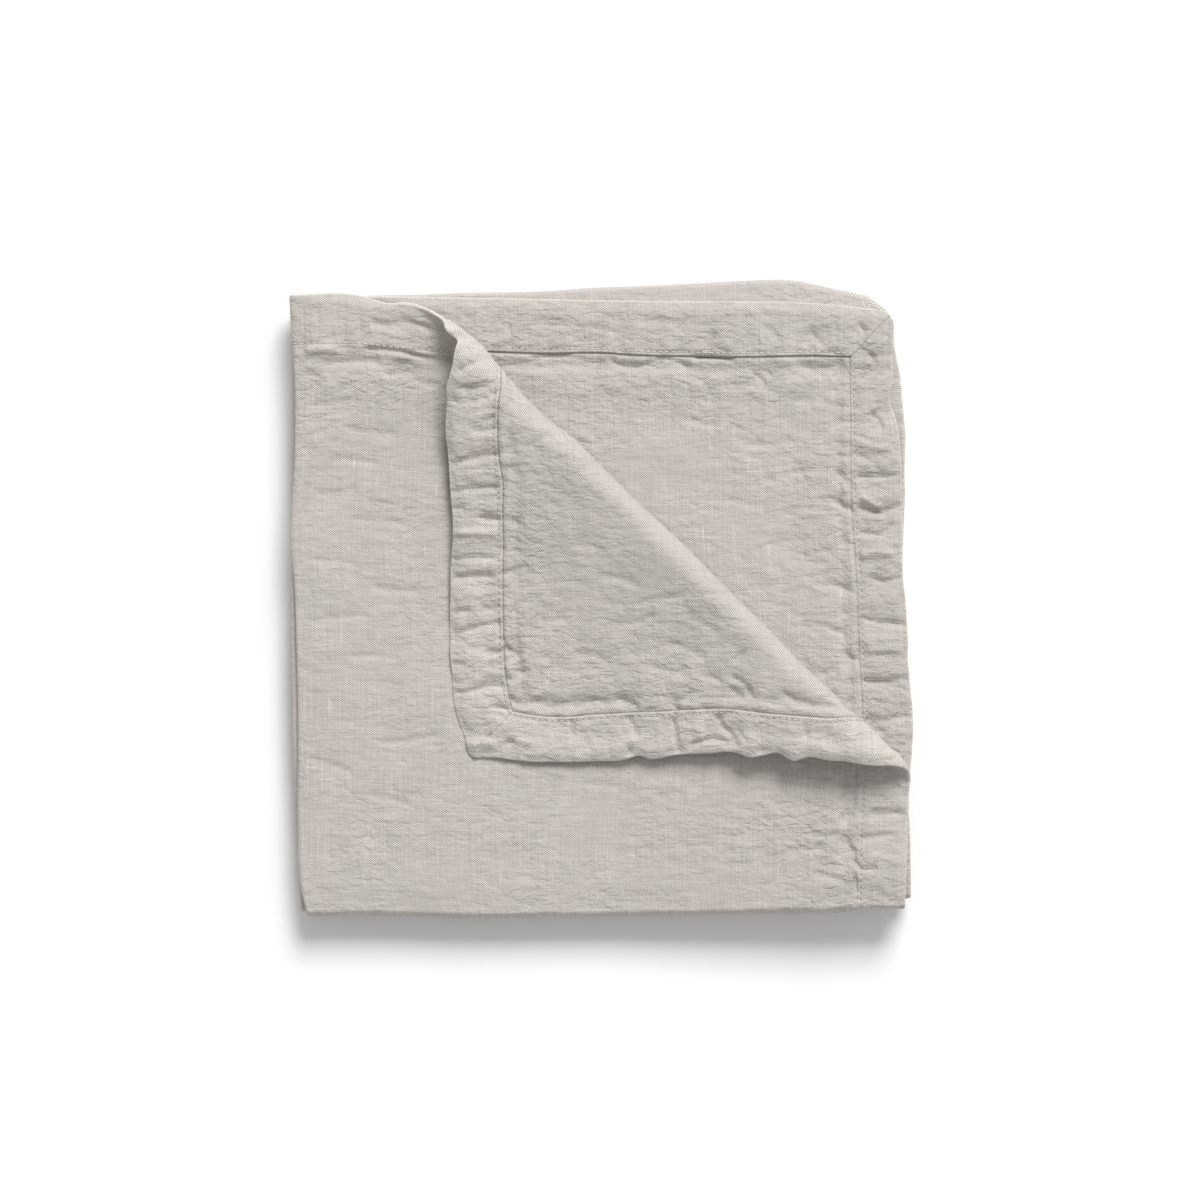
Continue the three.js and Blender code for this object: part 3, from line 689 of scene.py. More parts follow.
def crumple(across, down, size, seed):
    """Short soft troughs at random: bells along the zero line of one noise, kept where a second
    noise is high."""
    line = smooth_noise(across + CRUMPLE_SLANTS[0] * down, down, size, seed)
    kept = smooth_noise(across, down + CRUMPLE_SLANTS[1] * across, size * CRUMPLE_PATCH, seed + 1)
    return -hump(line, CRUMPLE_WIDTH) * smooth_step(kept, *CRUMPLE_FADE)


def washed(across, down):
    """The unevenness of washed linen, in mm: two sizes each of slow swells, fine ripples and
    crumples. The last two are strongest within a few centimetres of a hem."""
    (broad, broad_size), (narrow, narrow_size) = SWELLS
    swell = broad * smooth_noise(across, down, broad_size, seed=11)
    swell = swell + narrow * smooth_noise(down, across, narrow_size, seed=12)
    (broad, broad_size), (narrow, narrow_size) = RIPPLES
    ripple = broad * smooth_noise(across, down, broad_size, seed=13)
    ripple = ripple + narrow * smooth_noise(across, down, narrow_size, seed=14)
    (broad, broad_size), (narrow, narrow_size) = CRUMPLES
    crumples = broad * crumple(across, down, broad_size, seed=15)
    crumples = crumples + narrow * crumple(down, across, narrow_size, seed=17)
    inside = np.minimum(*edge_distances(across, down))
    near_hem = hump(np.maximum(inside - HEM_WIDTH, 0), NEAR_HEM)
    return swell + ripple * (RIPPLES_LEFT + near_hem) + crumples * (CRUMPLES_LEFT + near_hem)


def hem_gather(across, down):
    """Puckers that the seam draws into the cloth: ripples along each hem, strongest at its seam,
    and beside it a puffed ridge with a trough behind, both bells that noise makes uneven."""
    to_side, to_end = edge_distances(across, down)
    inside = np.minimum(to_side, to_end)
    along = np.where(to_side < to_end, down, across)
    strip = (np.where(to_side < to_end, 3, 0) + np.where(across < 0, 1, 0)) * NOISE_GAP
    ripple = 0
    for seed, (height, size, slant) in enumerate(GATHER, 21):
        ripple = ripple + height * smooth_noise(along, strip + inside * slant, size, seed)
    reach = smooth_step(inside, *GATHER_COMES) * (1 - smooth_step(inside, *GATHER_GOES))
    place, half_width = BEHIND_PUFF
    wander = WANDER * smooth_noise(along, strip, WANDER_SIZE, seed=24)
    puff = hump(inside - PUFF[0], PUFF[1])
    puff = puff - BEHIND_DEPTH * hump(inside - place - wander, half_width)
    uneven = PUFF_MEAN + PUFF_CHANGE * smooth_noise(along, strip, PUFF_SIZE, seed=23)
    return ripple * reach + puff * uneven


def from_fold(x, y, way):
    """How far a place is from the diagonal fold's start, along one way."""
    return (x - FOLD_START[0]) * way[0] + (y - FOLD_START[1]) * way[1]


def beyond_flap(x, y, past):
    """How far a place on the top layer is outside the part that the turned corner covers: the flat
    place that comes to lie there, out across the fold, is set against the cloth's edges."""
    reach = 2 * np.maximum(-past, 0) + math.pi * FOLD_RADIUS(from_fold(x, y, ALONG_FOLD))
    over_x = x + OUT_OF_FOLD[0] * reach
    over_y = y + OUT_OF_FOLD[1] * reach
    return np.maximum(over_x - TURNED_SIDE(over_y), over_y - TURNED_EDGE(over_x))


def relief(across, down, place, past, turn):
    """How far the right side and the wrong side move along the outward normal.

    The side that shows has the sum of the cloth's unevenness, gather, lift and creases, kept above
    a soft floor and faded out towards the folds, up or down as its layer lies. The side that is
    covered keeps to the floor, and follows the other near its edges.
    """
    x, y = place[..., 0], place[..., 1]
    in_section = down <= SECTION_LENGTH
    near_bend = smooth_step(SECTION_LENGTH - down, *BEND_FADE)
    near_fold = smooth_step(np.abs(across), *SIDE_FOLD_FADE)
    to_side, to_end = edge_distances(across, down)
    inside = np.minimum(to_side, to_end)
    near_rim = 1 - smooth_step(inside, *RIM_FADE)
    base = washed(across, down) + hem_gather(across, down) + RIM_LIFT
    base = base + HEM_LIFT * smooth_step(inside, *HEM_LIFT_FADE)
    base = base + BODY_LIFT * smooth_step(inside, *BODY_LIFT_FADE)
    crease_gain = 1 + HEM_CREASE_GAIN * (1 - smooth_step(inside, *HEM_CREASE_FADE))

    def shown_and_covered(rows, floor, held):
        shown = soft_floor(base + crease_gain * creases(rows, x, y), floor)
        covered = floor + (shown - floor) * near_rim
        return shown * held, covered * held

    flap = smooth_step(turn, *FLAP_TURN)
    floor = FLAP_FLOOR + ROLL_FLOOR * smooth_step(turn, *ROLL_FADE)
    flap_shown, flap_covered = shown_and_covered(FLAP_CREASES, floor, flap)
    at_side = smooth_step(to_side, *SIDE_CURL_FADE) * smooth_step(down, *SIDE_CURL_START)
    end_curl = END_CURL * smooth_step(down, *END_CURL_FADE) * (1 - at_side)
    curl = (SIDE_CURL * at_side - end_curl) * flap

    top = np.where((across > 0) & in_section, 1 - smooth_step(turn, *TOP_TURN), 0)
    held = top * smooth_step(beyond_flap(x, y, past), *OPEN_BY_FLAP) * near_fold * near_bend
    floor = TOP_FLOOR + TOP_BODY_FLOOR * smooth_step(inside, *TOP_FLOOR_FADE)
    top_shown, top_covered = shown_and_covered(TOP_CREASES, floor, held)
    top_shown = top_shown + HEM_STEP * (1 - smooth_step(inside, *HEM_STEP_FADE)) * held

    on_second = (across < 0) & in_section
    held = np.where(on_second, smooth_step(from_fold(x, y, OUT_OF_FOLD), *OPEN_BY_FOLD), 0) * near_bend
    second_shown, second_covered = shown_and_covered(SECOND_CREASES, SECOND_FLOOR, held)

    right = top_shown - flap_covered - curl - second_covered
    wrong = top_covered - flap_shown - curl - second_shown
    return right, wrong


def surfaces(across, down):
    """The cloth's right and wrong sides and its outward normal, at flat places. The right side is
    half a millimetre out from the middle, and the wrong side a thickness in from it. At the rim
    both draw together in a round edge, and their relief becomes its mean."""
    middle, past, turn = cloth_place(across, down)
    normal = outward(across, down)
    thickness, inside = hem_profile(across, down)
    right_moved, wrong_moved = relief(across, down, middle, past, turn)
    rim = np.clip(inside / EDGE_ROUND, 0, 1)
    drawn_in = thickness / 2 * (1 - np.sqrt(1 - (1 - rim) ** 2))
    seam = trough(inside - SEAM_INSET, RIGHT_SEAM_TROUGH)
    at_rim = (right_moved + wrong_moved) / 2
    right_moved = at_rim + (right_moved - at_rim) * rim
    wrong_moved = at_rim + (wrong_moved - at_rim) * rim
    right = HALF_LAYER + right_moved - drawn_in - seam
    wrong = HALF_LAYER + wrong_moved - thickness + drawn_in
    right_side = middle + normal * right[..., None]
    wrong_side = middle + normal * wrong[..., None]
    return right_side, wrong_side, normal


def lines_from_edge(far_end, body_steps):
    """Lines of the grid from a hem's outer edge inwards, up to a far end that isn't one of them."""
    strip = np.linspace(EDGE_LINES[-1], SEAM_LINES[0], STRIP_STEPS + 1)[1:-1]
    body = np.linspace(SEAM_LINES[-1], far_end, body_steps + 1)[1:-1]
    return np.concatenate((EDGE_LINES, strip, SEAM_LINES, body))


def flat_columns():
    """Lines across the whole width, close together round the lengthwise fold."""
    bend = math.pi / 2 * PLY_SPACING * np.array((0.25, 0.5, 0.75, 1.0))
    half = HALF_WIDTH - lines_from_edge(HALF_WIDTH - bend[-1], BODY_COLUMNS)
    return np.concatenate((-half, -bend[::-1], (0.0,), bend, half[::-1]))


def top_rows():
    """Lines down the top section and round its bend."""
    bend = SECTION_LENGTH + BEND_LENGTH * np.arange(FOLD_STEPS + 1) / FOLD_STEPS
    return np.concatenate((lines_from_edge(SECTION_LENGTH, BODY_ROWS), bend))


def lower_rows():
    """Lines down the other sections, from just past the first bend to the last hem."""
    rows = [STRIDE + line for line in FIRST_LOWER_LINES]
    run = SECTION_LENGTH * np.linspace(0, 1, LOWER_STEPS + 1)[1:-1]
    bend = BEND_LENGTH * np.arange(LOWER_FOLD_STEPS + 1) / LOWER_FOLD_STEPS
    for section in range(1, SECTIONS):
        start = section * STRIDE
        rows.extend(start + run)
        if section < SECTIONS - 1:
            rows.extend(start + SECTION_LENGTH + bend)
    rows = [row for row in rows if row < RUNNER_LENGTH - CLEAR_OF_LAST_HEM]
    return np.array(sorted(rows) + [RUNNER_LENGTH - line for line in LAST_HEM_LINES])


def kept_columns(columns):
    """Numbers of the columns that go on into the covered sections: a few beside each hem, every
    sixth of the body, and five round the fold."""
    middle = columns // 2
    body = range(HEM_LINES_KEPT[-1] + BODY_STRIDE, middle - BODY_STRIDE, BODY_STRIDE)
    half = np.array((*HEM_LINES_KEPT, *body, *(middle - step for step in KEPT_BY_FOLD)))
    return np.concatenate((half, (middle,), columns - 1 - half[::-1]))


def grid_faces(number):
    """Four-sided faces of a grid of numbered vertices, facing the right side."""
    return np.stack((number[:-1, :-1], number[1:, :-1], number[1:, 1:], number[:-1, 1:]), -1)


def block_faces(number, fine):
    """Faces of a grid in blocks of four by four cells, facing the right side. A fine block keeps
    its cells. Any other is one face, and its outline keeps all the vertices of a side that it
    shares with a fine block or with the grid's end."""
    cells = np.kron(fine, np.ones((BLOCK, BLOCK), bool))
    faces = grid_faces(number)[cells].tolist()
    beside = np.pad(fine, 1, constant_values=True)
    sides = (beside[1:-1, :-2], beside[2:, 1:-1], beside[1:-1, 2:], beside[:-2, 1:-1])
    step = np.arange(BLOCK)
    low, high = np.zeros(BLOCK, int), np.full(BLOCK, BLOCK)
    walks = ((step, low), (high, step), (high - step, high), (low, high - step))
    for flags in range(2 ** len(sides)):
        here = ~fine
        outline = []
        for bit, (side, walk) in enumerate(zip(sides, walks)):
            split = bool(flags >> bit & 1)
            here = here & (side == split)
            outline.append(np.stack(walk)[:, : BLOCK if split else 1])
        down_step, across_step = np.concatenate(outline, 1)
        row, column = np.nonzero(here)
        corners = number[row[:, None] * BLOCK + down_step, column[:, None] * BLOCK + across_step]
        faces += corners.tolist()
    return faces


def joining_faces(above, below, kept):
    """One face for each step of a coarse row, whose upper side has all the fine row's vertices."""
    spans = zip(kept[:-1], kept[1:], below[:-1], below[1:])
    return [[above[a], low, high, *above[b:a:-1]] for a, b, low, high in spans]


def showing(across, down):
    """Whether flat places of the top section are seen, on the right side and on the wrong side."""
    place, past, turn = cloth_place(across, down)
    x, y = place[..., 0], place[..., 1]
    unturned = (turn <= 0) & (beyond_flap(x, y, past) > FINE_BY_FLAP)
    right = (across > FINE_BY_SIDE_FOLD) & (unturned | (turn > 0) & (turn < FINE_TURN))
    wrong = ((across > 0) & (turn > 0)) | ((across < 0) & (from_fold(x, y, OUT_OF_FOLD) > FINE_BY_FOLD))
    return right, wrong & (down < SECTION_LENGTH)


def flat_grid():
    """The flat places of the cloth, and the faces of its right and of its wrong side: a fine grid
    in blocks on the top section, and a coarse one with few of its columns on the rest."""
    columns = flat_columns()
    fine_rows = top_rows()
    coarse_rows = lower_rows()
    kept = kept_columns(len(columns))
    fine_places = np.stack(np.meshgrid(columns, fine_rows), -1)
    coarse_places = np.stack(np.meshgrid(columns[kept], coarse_rows), -1)
    fine = np.arange(fine_places[..., 0].size).reshape(fine_places.shape[:2])
    coarse = fine.size + np.arange(coarse_places[..., 0].size).reshape(coarse_places.shape[:2])
    below = joining_faces(fine[-1].tolist(), coarse[0].tolist(), kept)
    below += grid_faces(coarse).reshape(-1, 4).tolist()
    middles = fine_places[BLOCK // 2 :: BLOCK, BLOCK // 2 :: BLOCK]
    sides = []
    for seen in showing(middles[..., 0], middles[..., 1]):
        seen[0] = seen[:, 0] = seen[:, -1] = True
        sides.append(block_faces(fine, seen) + below)
    flat = np.concatenate((fine_places.reshape(-1, 2), coarse_places.reshape(-1, 2)))
    return flat, *sides


def to_part(points):
    """Packet millimetres to the part's frame, in metres."""
    return (points - np.array((*PACKET_CENTRE, 0))) * MM


def new_piece(name, vertices, faces, material):
    """A mesh object at the origin, smooth all over."""
    mesh = bpy.data.meshes.new(name)
    mesh.from_pydata(vertices.tolist(), [], faces)
    mesh.polygons.foreach_set("use_smooth", np.ones(len(faces), bool))
    mesh.materials.append(material)
    piece = bpy.data.objects.new(name, mesh)
    bpy.context.scene.collection.objects.link(piece)
    return piece


def make_cloth(material):
    """The closed sheet. The wrong side's rim vertices are the right side's, so that the two meet
    in one folded edge."""
    flat, right_faces, wrong_faces = flat_grid()
    right_side, wrong_side, _ = surfaces(*flat.T)
    inner = np.minimum(*edge_distances(*flat.T)) > TINY
    wrong_number = np.arange(len(flat))
    wrong_number[inner] = len(flat) + np.arange(inner.sum())
    faces = right_faces + [wrong_number[face[::-1]].tolist() for face in wrong_faces]
    places = np.concatenate((right_side, wrong_side[inner]))
    flat_places = np.concatenate((flat, flat[inner])) * MM

    corners = np.concatenate(faces)
    used, renumbered = np.unique(corners, return_inverse=True)
    ends = np.cumsum([len(face) for face in faces])[:-1]
    faces = [face.tolist() for face in np.split(renumbered, ends)]
    cloth = new_piece("linen_cloth", to_part(places[used]), faces, material)

    mesh = cloth.data
    mesh.uv_layers.new(name="flat").uv.foreach_set("vector", flat_places[corners].ravel())
    wrong = mesh.attributes.new("wrong_side", "FLOAT", "FACE")
    on_wrong = np.arange(len(faces)) >= len(right_faces)
    wrong.data.foreach_set("value", on_wrong.astype(float))
    return cloth


def seam_places(first, last, fixed, runs_across):
    """Middles of the stitches along one stretch of seam, on the flat cloth."""
    numbers = np.arange(math.ceil(first / STITCH_PITCH), math.floor(last / STITCH_PITCH))
    along = (numbers + 0.5) * STITCH_PITCH
    other = np.full_like(along, fixed)
    return np.stack((along, other) if runs_across else (other, along), -1)


def stitch_faces():
    """Faces of one stitch: its first end, its rings of vertices and its last end, in that order."""
    rings = len(STATIONS) - 2
    end = 1 + rings * THREAD_SIDES
    around = [(k, (k + 1) % THREAD_SIDES) for k in range(THREAD_SIDES)]
    faces = [(0, 1 + b, 1 + a) for a, b in around]
    for start in range(1, end - THREAD_SIDES, THREAD_SIDES):
        after = start + THREAD_SIDES
        faces += [(start + a, start + b, after + b) for a, b in around]
        faces += [(start + a, after + b, after + a) for a, b in around]
    last = end - THREAD_SIDES
    return faces + [(end, last + a, last + b) for a, b in around]


def make_stitches(name, seams, on_wrong_side, material):
    """Rows of stitches: each a short thread that rises from one hole, lies along the seam and
    goes down into the next, round in section and drawn to a point at both ends. Its middle stands
    (1 - (2t)^4 - sunk) of the thread's radius off the cloth at t of its length from its middle."""
    ring_turn = np.arange(THREAD_SIDES) * 2 * math.pi / THREAD_SIDES
    lift = THREAD * (1.0 - (2 * STATIONS) ** 4) - THREAD_SUNK * THREAD
    pieces = []
    for places, runs_across in seams:
        steps = np.array((1.0, 0.0)) if runs_across else np.array((0.0, 1.0))
        flat = places[:, None, :] + STATIONS[None, :, None] * STITCH_LENGTH * steps
        right_side, wrong_side, normal = surfaces(flat[..., 0], flat[..., 1])
        base = wrong_side if on_wrong_side else right_side
        normal = -normal if on_wrong_side else normal
        way = base[:, -1] - base[:, 0]
        way = way / np.linalg.norm(way, axis=-1, keepdims=True)
        aside = np.cross(normal, way[:, None, :])
        middle = base + normal * lift[None, :, None]
        ring = (
            np.cos(ring_turn)[None, None, :, None] * aside[:, 1:-1, None, :]
            + np.sin(ring_turn)[None, None, :, None] * normal[:, 1:-1, None, :]
        )
        body = (middle[:, 1:-1, None, :] + ring * THREAD).reshape(len(places), -1, 3)
        pieces.append(np.concatenate((middle[:, :1], body, middle[:, -1:]), 1))
    points = np.concatenate(pieces)
    firsts = np.arange(len(points)) * points.shape[1]
    faces = (firsts[:, None, None] + np.array(stitch_faces())).reshape(-1, 3).tolist()
    return new_piece(name, to_part(points.reshape(-1, 3)), faces, material)


def set_or_link(socket, value):
    """Gives an input a fixed value, or a link from another node's output."""
    if isinstance(value, bpy.types.NodeSocket):
        socket.id_data.links.new(value, socket)
    else:
        socket.default_value = value


def math_node(operation, *values):
    """One Math node beside the first output among its values, and its own output."""
    tree = next(value.id_data for value in values if isinstance(value, bpy.types.NodeSocket))
    node = tree.nodes.new("ShaderNodeMath")
    node.operation = operation
    for socket, value in zip(node.inputs, values):
        set_or_link(socket, value)
    return node.outputs[0]


times = partial(math_node, "MULTIPLY")
times_plus = partial(math_node, "MULTIPLY_ADD")
plus = partial(math_node, "ADD")
minus = partial(math_node, "SUBTRACT")
least = partial(math_node, "MINIMUM")
greatest = partial(math_node, "MAXIMUM")
unsigned = partial(math_node, "ABSOLUTE")
sine = partial(math_node, "SINE")
is_less = partial(math_node, "LESS_THAN")
is_more = partial(math_node, "GREATER_THAN")


def noise_node(vector, stretch, scale, detail=2.0):
    """Noise of a vector stretched by a Mapping node, from 0 to 1 about 0.5."""
    tree = vector.id_data
    mapping = tree.nodes.new("ShaderNodeMapping")
    mapping.inputs["Scale"].default_value = stretch
    set_or_link(mapping.inputs["Vector"], vector)
    noise = tree.nodes.new("ShaderNodeTexNoise")
    noise.inputs["Scale"].default_value = scale
    noise.inputs["Detail"].default_value = detail
    set_or_link(noise.inputs["Vector"], mapping.outputs[0])
    return noise.outputs["Fac"]


def band(value, centre, half_width):
    """1 at the centre, falling by a smooth step to 0 at a half width either side."""
    node = value.id_data.nodes.new("ShaderNodeMapRange")
    node.interpolation_type = "SMOOTHSTEP"
    away = unsigned(minus(value, centre))
    for name, setting in zip(
        ("Value", "From Min", "From Max", "To Min", "To Max"), (away, 0.0, half_width, 1.0, 0.0)
    ):
        set_or_link(node.inputs[name], setting)
    return node.outputs[0]


def bump_node(height, distance, strength, normal=None):
    """The normal of a height that stands for so many metres, on top of another bump's normal."""
    node = height.id_data.nodes.new("ShaderNodeBump")
    node.inputs["Distance"].default_value = distance
    node.inputs["Strength"].default_value = strength
    set_or_link(node.inputs["Height"], height)
    if normal is not None:
        set_or_link(node.inputs["Normal"], normal)
    return node.outputs["Normal"]


def colour_mix(factor, first, second):
    """A colour from the first to the second, by a factor."""
    node = factor.id_data.nodes.new("ShaderNodeMix")
    node.data_type = "RGBA"
    sockets = [socket for socket in node.inputs if socket.type == "RGBA"]
    for socket, value in zip([node.inputs["Factor"], *sockets], (factor, first, second)):
        set_or_link(socket, value)
    return next(socket for socket in node.outputs if socket.type == "RGBA")


def new_material(name, roughness, sheen):
    """A matte material with a soft sheen, and its shader."""
    material = bpy.data.materials.new(name)
    material.use_nodes = True
    shader = material.node_tree.nodes["Principled BSDF"]
    shader.inputs["Roughness"].default_value = roughness
    shader.inputs["Specular IOR Level"].default_value = 0.25
    shader.inputs["Sheen Weight"].default_value = sheen
    shader.inputs["Sheen Roughness"].default_value = 0.5
    return material, shader


def weave_pattern(place, across, down):
    """Threads over and under: two sines that noise makes wander. Their product says which thread is
    on top, and the higher of the two threads is the cloth's height."""
    wander, turn, round_part, over_part = 2.6, math.pi, 0.6, 0.4
    warp_wander = times(noise_node(place, (1, 0.35, 1), scale=70), wander)
    weft_wander = times(noise_node(place, (0.35, 1, 1), scale=74), wander)
    warp = sine(times_plus(across, turn / WARP_PITCH, warp_wander))
    weft = sine(times_plus(down, turn / WEFT_PITCH, weft_wander))
    over = times(warp, weft)
    warp_top = times_plus(unsigned(warp), round_part, times(over, over_part))
    weft_top = times_plus(unsigned(weft), round_part, times(over, -over_part))
    return over, greatest(warp_top, weft_top)


def woven_tone(place, over, weave, slubs):
    """The linen's tone, about 1: each pattern times its strength less its mean, and a few thicker
    threads each way that are lighter. The weave's height in it is painted shade, darker in the low
    gaps between the threads."""
    over_strength, thick_from, thick_strength = 0.54, 0.69, 1.3
    dye = noise_node(place, EVEN, scale=30, detail=4.0)
    tone = times_plus(over, over_strength, 1.0)
    # The weave's height is painted shade here: the low gaps between threads are darker
    for pattern, strength, mean in ((weave, 0.3, 0.19), (slubs, 0.3, 0.3), (dye, 0.08, 0.04)):
        tone = times_plus(pattern, strength, minus(tone, mean))
    for stretch in ((0.06, 1, 1), (1, 0.06, 1)):
        thick = minus(noise_node(place, stretch, scale=1900, detail=0.0), thick_from)
        tone = times_plus(greatest(thick, 0.0), thick_strength, tone)
    return tone


def painted_seam_shade(across, down, to_side, to_end, on_wrong):
    """Painted shade along the seams: how dark the stitch holes are, and on the wrong side the painted
    contact shadow just past the hem's lip and the painted shade in the mitre's seam: the darkest of
    the three at each place."""
    # Widths and strengths of the painted shade in the stitch holes, beside the lip and in the mitre
    hole_length, hole_width, hole_shade = 0.55, 0.42, 0.6
    lip_place, lip_width, lip_shade, second_side_less = HEM_WIDTH + 0.3, 0.5, 0.45, -0.35
    mitre_width, mitre_shade, flap_less = 0.5, 0.42, -0.2
    inside = least(to_side, to_end)
    at_side = is_less(to_side, to_end)
    along = plus(times(down, at_side), times(across, minus(1.0, at_side)))
    step = math_node("PINGPONG", along, STITCH_PITCH / 2)
    holes = times(band(step, 0.0, hole_length), band(inside, SEAM_INSET, hole_width))
    second_side = times(at_side, is_less(across, 0.0))
    lip = times(band(inside, lip_place, lip_width), on_wrong)
    lip = times(lip, times_plus(second_side, second_side_less, lip_shade))
    corner = is_less(greatest(to_side, to_end), HEM_WIDTH)
    mitre = times(times(band(minus(to_side, to_end), 0.0, mitre_width), corner), on_wrong)
    mitre = times(mitre, times_plus(is_more(across, 0.0), flap_less, mitre_shade))
    return greatest(times(holes, hole_shade), greatest(lip, mitre))


def fine_wrinkles(place, inside):
    """The finest wrinkles of the lying cloth: a noise, and twice the flat-topped cracks along a
    second one's middle, both stronger in patches and near the hems."""
    lying = place.id_data.nodes.new("ShaderNodeTexCoord").outputs["Object"]
    stretch, noise_middle, crack_top = (1, 1.6, 1.6), 0.5, 0.06
    patch_strength, patch_less, hem_reach, hem_strength = 1.6, 0.15, 55.0, 0.5
    crack = unsigned(minus(noise_node(lying, stretch, scale=110), noise_middle))
    wrinkle = times_plus(least(crack, crack_top), 2.0, noise_node(lying, stretch, scale=160))
    patches = times(noise_node(place, EVEN, scale=26, detail=1.0), patch_strength)
    patches = times_plus(band(inside, HEM_WIDTH, hem_reach), hem_strength, patches)
    return times(wrinkle, minus(patches, patch_less))


def linen_material():
    """Plain-weave washed linen by the cloth's flat places, in mm: its weave and slubs, painted shade
    between the threads, a painted highlight along the rim, the wrong side's hems a little darker on
    the second layer and, as painted light, lighter on the turned corner, painted shade in the seams,
    and fine wrinkles."""
    material, shader = new_material("washed_linen", roughness=0.85, sheen=0.14)
    tree = material.node_tree
    flat = tree.nodes.new("ShaderNodeUVMap")
    flat.uv_map = "flat"
    place = flat.outputs["UV"]
    split = tree.nodes.new("ShaderNodeSeparateXYZ")
    set_or_link(split.inputs[0], place)
    across, down = (math_node("DIVIDE", split.outputs[axis], MM) for axis in ("X", "Y"))
    wrong = tree.nodes.new("ShaderNodeAttribute")
    wrong.attribute_name = "wrong_side"
    on_wrong = wrong.outputs["Fac"]
    to_side = minus(HALF_WIDTH, unsigned(across))
    to_end = least(down, minus(RUNNER_LENGTH, down))
    inside = least(to_side, to_end)

    rim_width, painted_highlight_width, painted_highlight_strength = 0.6, 0.9, 0.22
    hem_change, flap_painted_light = -0.035, 0.1
    over, weave = weave_pattern(place, across, down)
    off_rim = minus(1.0, band(inside, 0.0, rim_width))
    warp_slubs = noise_node(place, (1, 0.02, 1), scale=1700, detail=1.0)
    slubs = plus(warp_slubs, noise_node(place, (0.02, 1, 1), scale=2200, detail=1.0))
    tone = woven_tone(place, times(over, off_rim), weave, slubs)
    # Painted shade in the stitch holes, beside the hem's lip and along the mitre
    tone = times(tone, minus(1.0, painted_seam_shade(across, down, to_side, to_end, on_wrong)))
    # A painted highlight along the rounded rim, where it catches the light
    tone = times(tone, times_plus(band(inside, 0.0, painted_highlight_width), painted_highlight_strength, 1.0))
    # The wrong side's hems: a little darker on the second layer, and lighter on the turned corner as
    # painted light, for a strip that lies flatter towards the light
    hem_tone_and_painted_light = times_plus(is_more(across, 0.0), flap_painted_light, hem_change)
    in_hem = times(is_less(inside, HEM_WIDTH), on_wrong)
    tone = times(tone, times_plus(in_hem, hem_tone_and_painted_light, 1.0))

    warm, cool = (0.53, 0.487, 0.45, 1), (0.52, 0.485, 0.455, 1)
    tinted = tree.nodes.new("ShaderNodeVectorMath")
    tinted.operation = "SCALE"
    set_or_link(tinted.inputs[0], colour_mix(noise_node(place, EVEN, scale=12), warm, cool))
    set_or_link(tinted.inputs["Scale"], tone)
    set_or_link(shader.inputs["Base Color"], tinted.outputs[0])

    normal = bump_node(fine_wrinkles(place, inside), distance=0.0018, strength=0.7)
    normal = bump_node(slubs, distance=0.0002, strength=0.5, normal=normal)
    normal = bump_node(times(weave, off_rim), distance=0.00012, strength=0.6, normal=normal)
    set_or_link(shader.inputs["Normal"], normal)
    return material


def thread_material():
    """The sewing thread: a twist of fine strands, a little lighter than the linen."""
    material, shader = new_material("sewing_thread", roughness=0.7, sheen=0.1)
    place = material.node_tree.nodes.new("ShaderNodeTexCoord").outputs["Object"]
    fibres = noise_node(place, EVEN, scale=3500)
    dark, light = (0.56, 0.52, 0.475, 1), (0.66, 0.63, 0.59, 1)
    set_or_link(shader.inputs["Base Color"], colour_mix(fibres, dark, light))
    set_or_link(shader.inputs["Normal"], bump_node(fibres, distance=0.0001, strength=0.5))
    return material


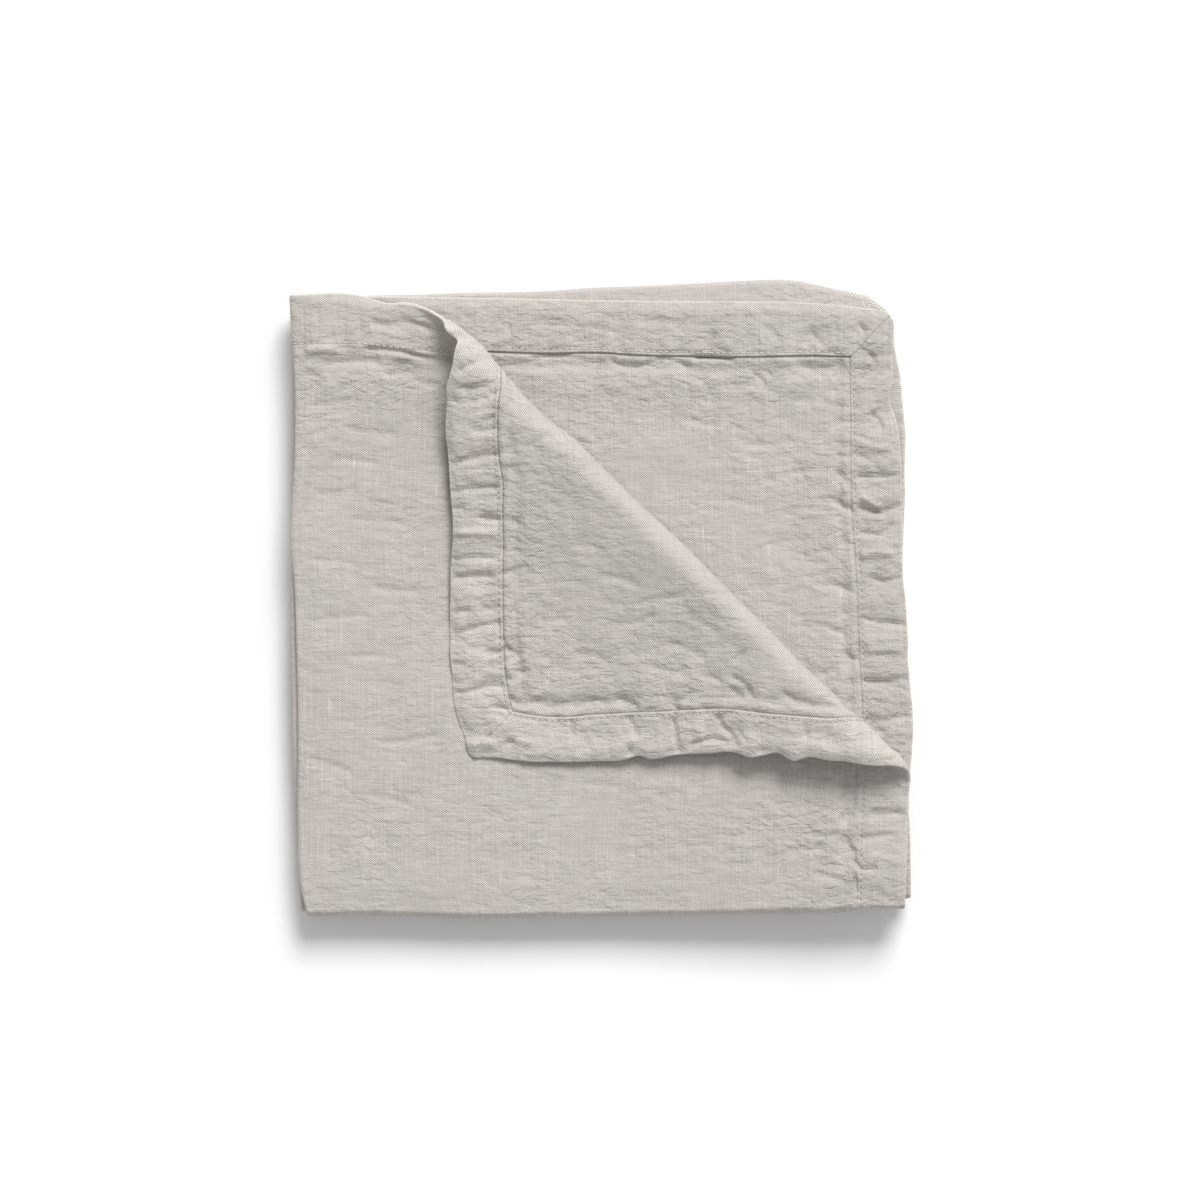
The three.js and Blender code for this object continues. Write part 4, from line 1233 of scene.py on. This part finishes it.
def make_runner():
    """The cloth and its stitches, on the packet's one body."""
    linen = linen_material()
    thread = thread_material()
    cloth = make_cloth(linen)
    seam_out = HALF_WIDTH - SEAM_INSET
    last_section = (SECTIONS - 1) * STRIDE
    top_seams = [
        (seam_places(-seam_out, seam_out, SEAM_INSET, True), True),
        (seam_places(SEAM_INSET, SECTION_LENGTH, seam_out, False), False),
        (seam_places(SEAM_INSET, SECTION_LENGTH, -seam_out, False), False),
    ]
    bottom_seams = [
        (seam_places(-seam_out, 0, RUNNER_LENGTH - SEAM_INSET, True), True),
        (seam_places(last_section, RUNNER_LENGTH - SEAM_INSET, -seam_out, False), False),
    ]
    stitches = [
        make_stitches("stitches_wrong_side", top_seams, True, thread),
        make_stitches("stitches_right_side", top_seams, False, thread),
        make_stitches("stitches_underside", bottom_seams, False, thread),
    ]
    for piece in [cloth, *stitches]:
        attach(piece, "root")
    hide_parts("runner")


def make_floor():
    """A wide pale floor under the packet."""
    half_size = 3.0
    pale = (0.93, 0.93, 0.93, 1)
    corners = np.array(((-1, -1, 0), (1, -1, 0), (1, 1, 0), (-1, 1, 0))) * half_size
    material, shader = new_material("pale_floor", roughness=0.9, sheen=0.0)
    shader.inputs["Base Color"].default_value = pale
    new_piece("floor", corners, [(0, 1, 2, 3)], material)


def add_light(name, azimuth, elevation, distance, size, power):
    """A square soft light that faces the packet, from an azimuth clockwise from the photo's top."""
    turn, rise = math.radians(azimuth), math.radians(elevation)
    flat_part = math.cos(rise)
    towards = Vector((math.sin(turn) * flat_part, math.cos(turn) * flat_part, math.sin(rise)))
    light = bpy.data.lights.new(name, "AREA")
    light.size = size
    light.energy = power
    lamp = bpy.data.objects.new(name, light)
    lamp.location = towards * distance
    lamp.rotation_euler = (-towards).to_track_quat("-Z", "Y").to_euler()
    bpy.context.scene.collection.objects.link(lamp)


def light_scene():
    """One broad light from above the photo's top edge, and an even white surround."""
    surround = 0.49
    add_light("key_light", azimuth=18, elevation=43, distance=12.0, size=5.0, power=1390)
    world = bpy.data.worlds.new("studio")
    world.use_nodes = True
    background = world.node_tree.nodes["Background"]
    background.inputs["Color"].default_value = (1, 1, 1, 1)
    background.inputs["Strength"].default_value = surround
    bpy.context.scene.world = world
    bpy.context.scene.view_settings.view_transform = "Standard"


def add_camera():
    """Straight down on the packet, framed as the photograph is."""
    height = 2.0
    view_width = 0.486
    aim = (-0.0002, -0.0004)
    data = bpy.data.cameras.new("camera")
    data.sensor_width = 36.0
    top_of_packet = 0.02
    data.lens = data.sensor_width * (height - top_of_packet) / view_width
    camera = bpy.data.objects.new("camera", data)
    camera.location = (*aim, height)
    bpy.context.scene.collection.objects.link(camera)
    bpy.context.scene.camera = camera


add_camera()
make_runner()
make_floor()
light_scene()
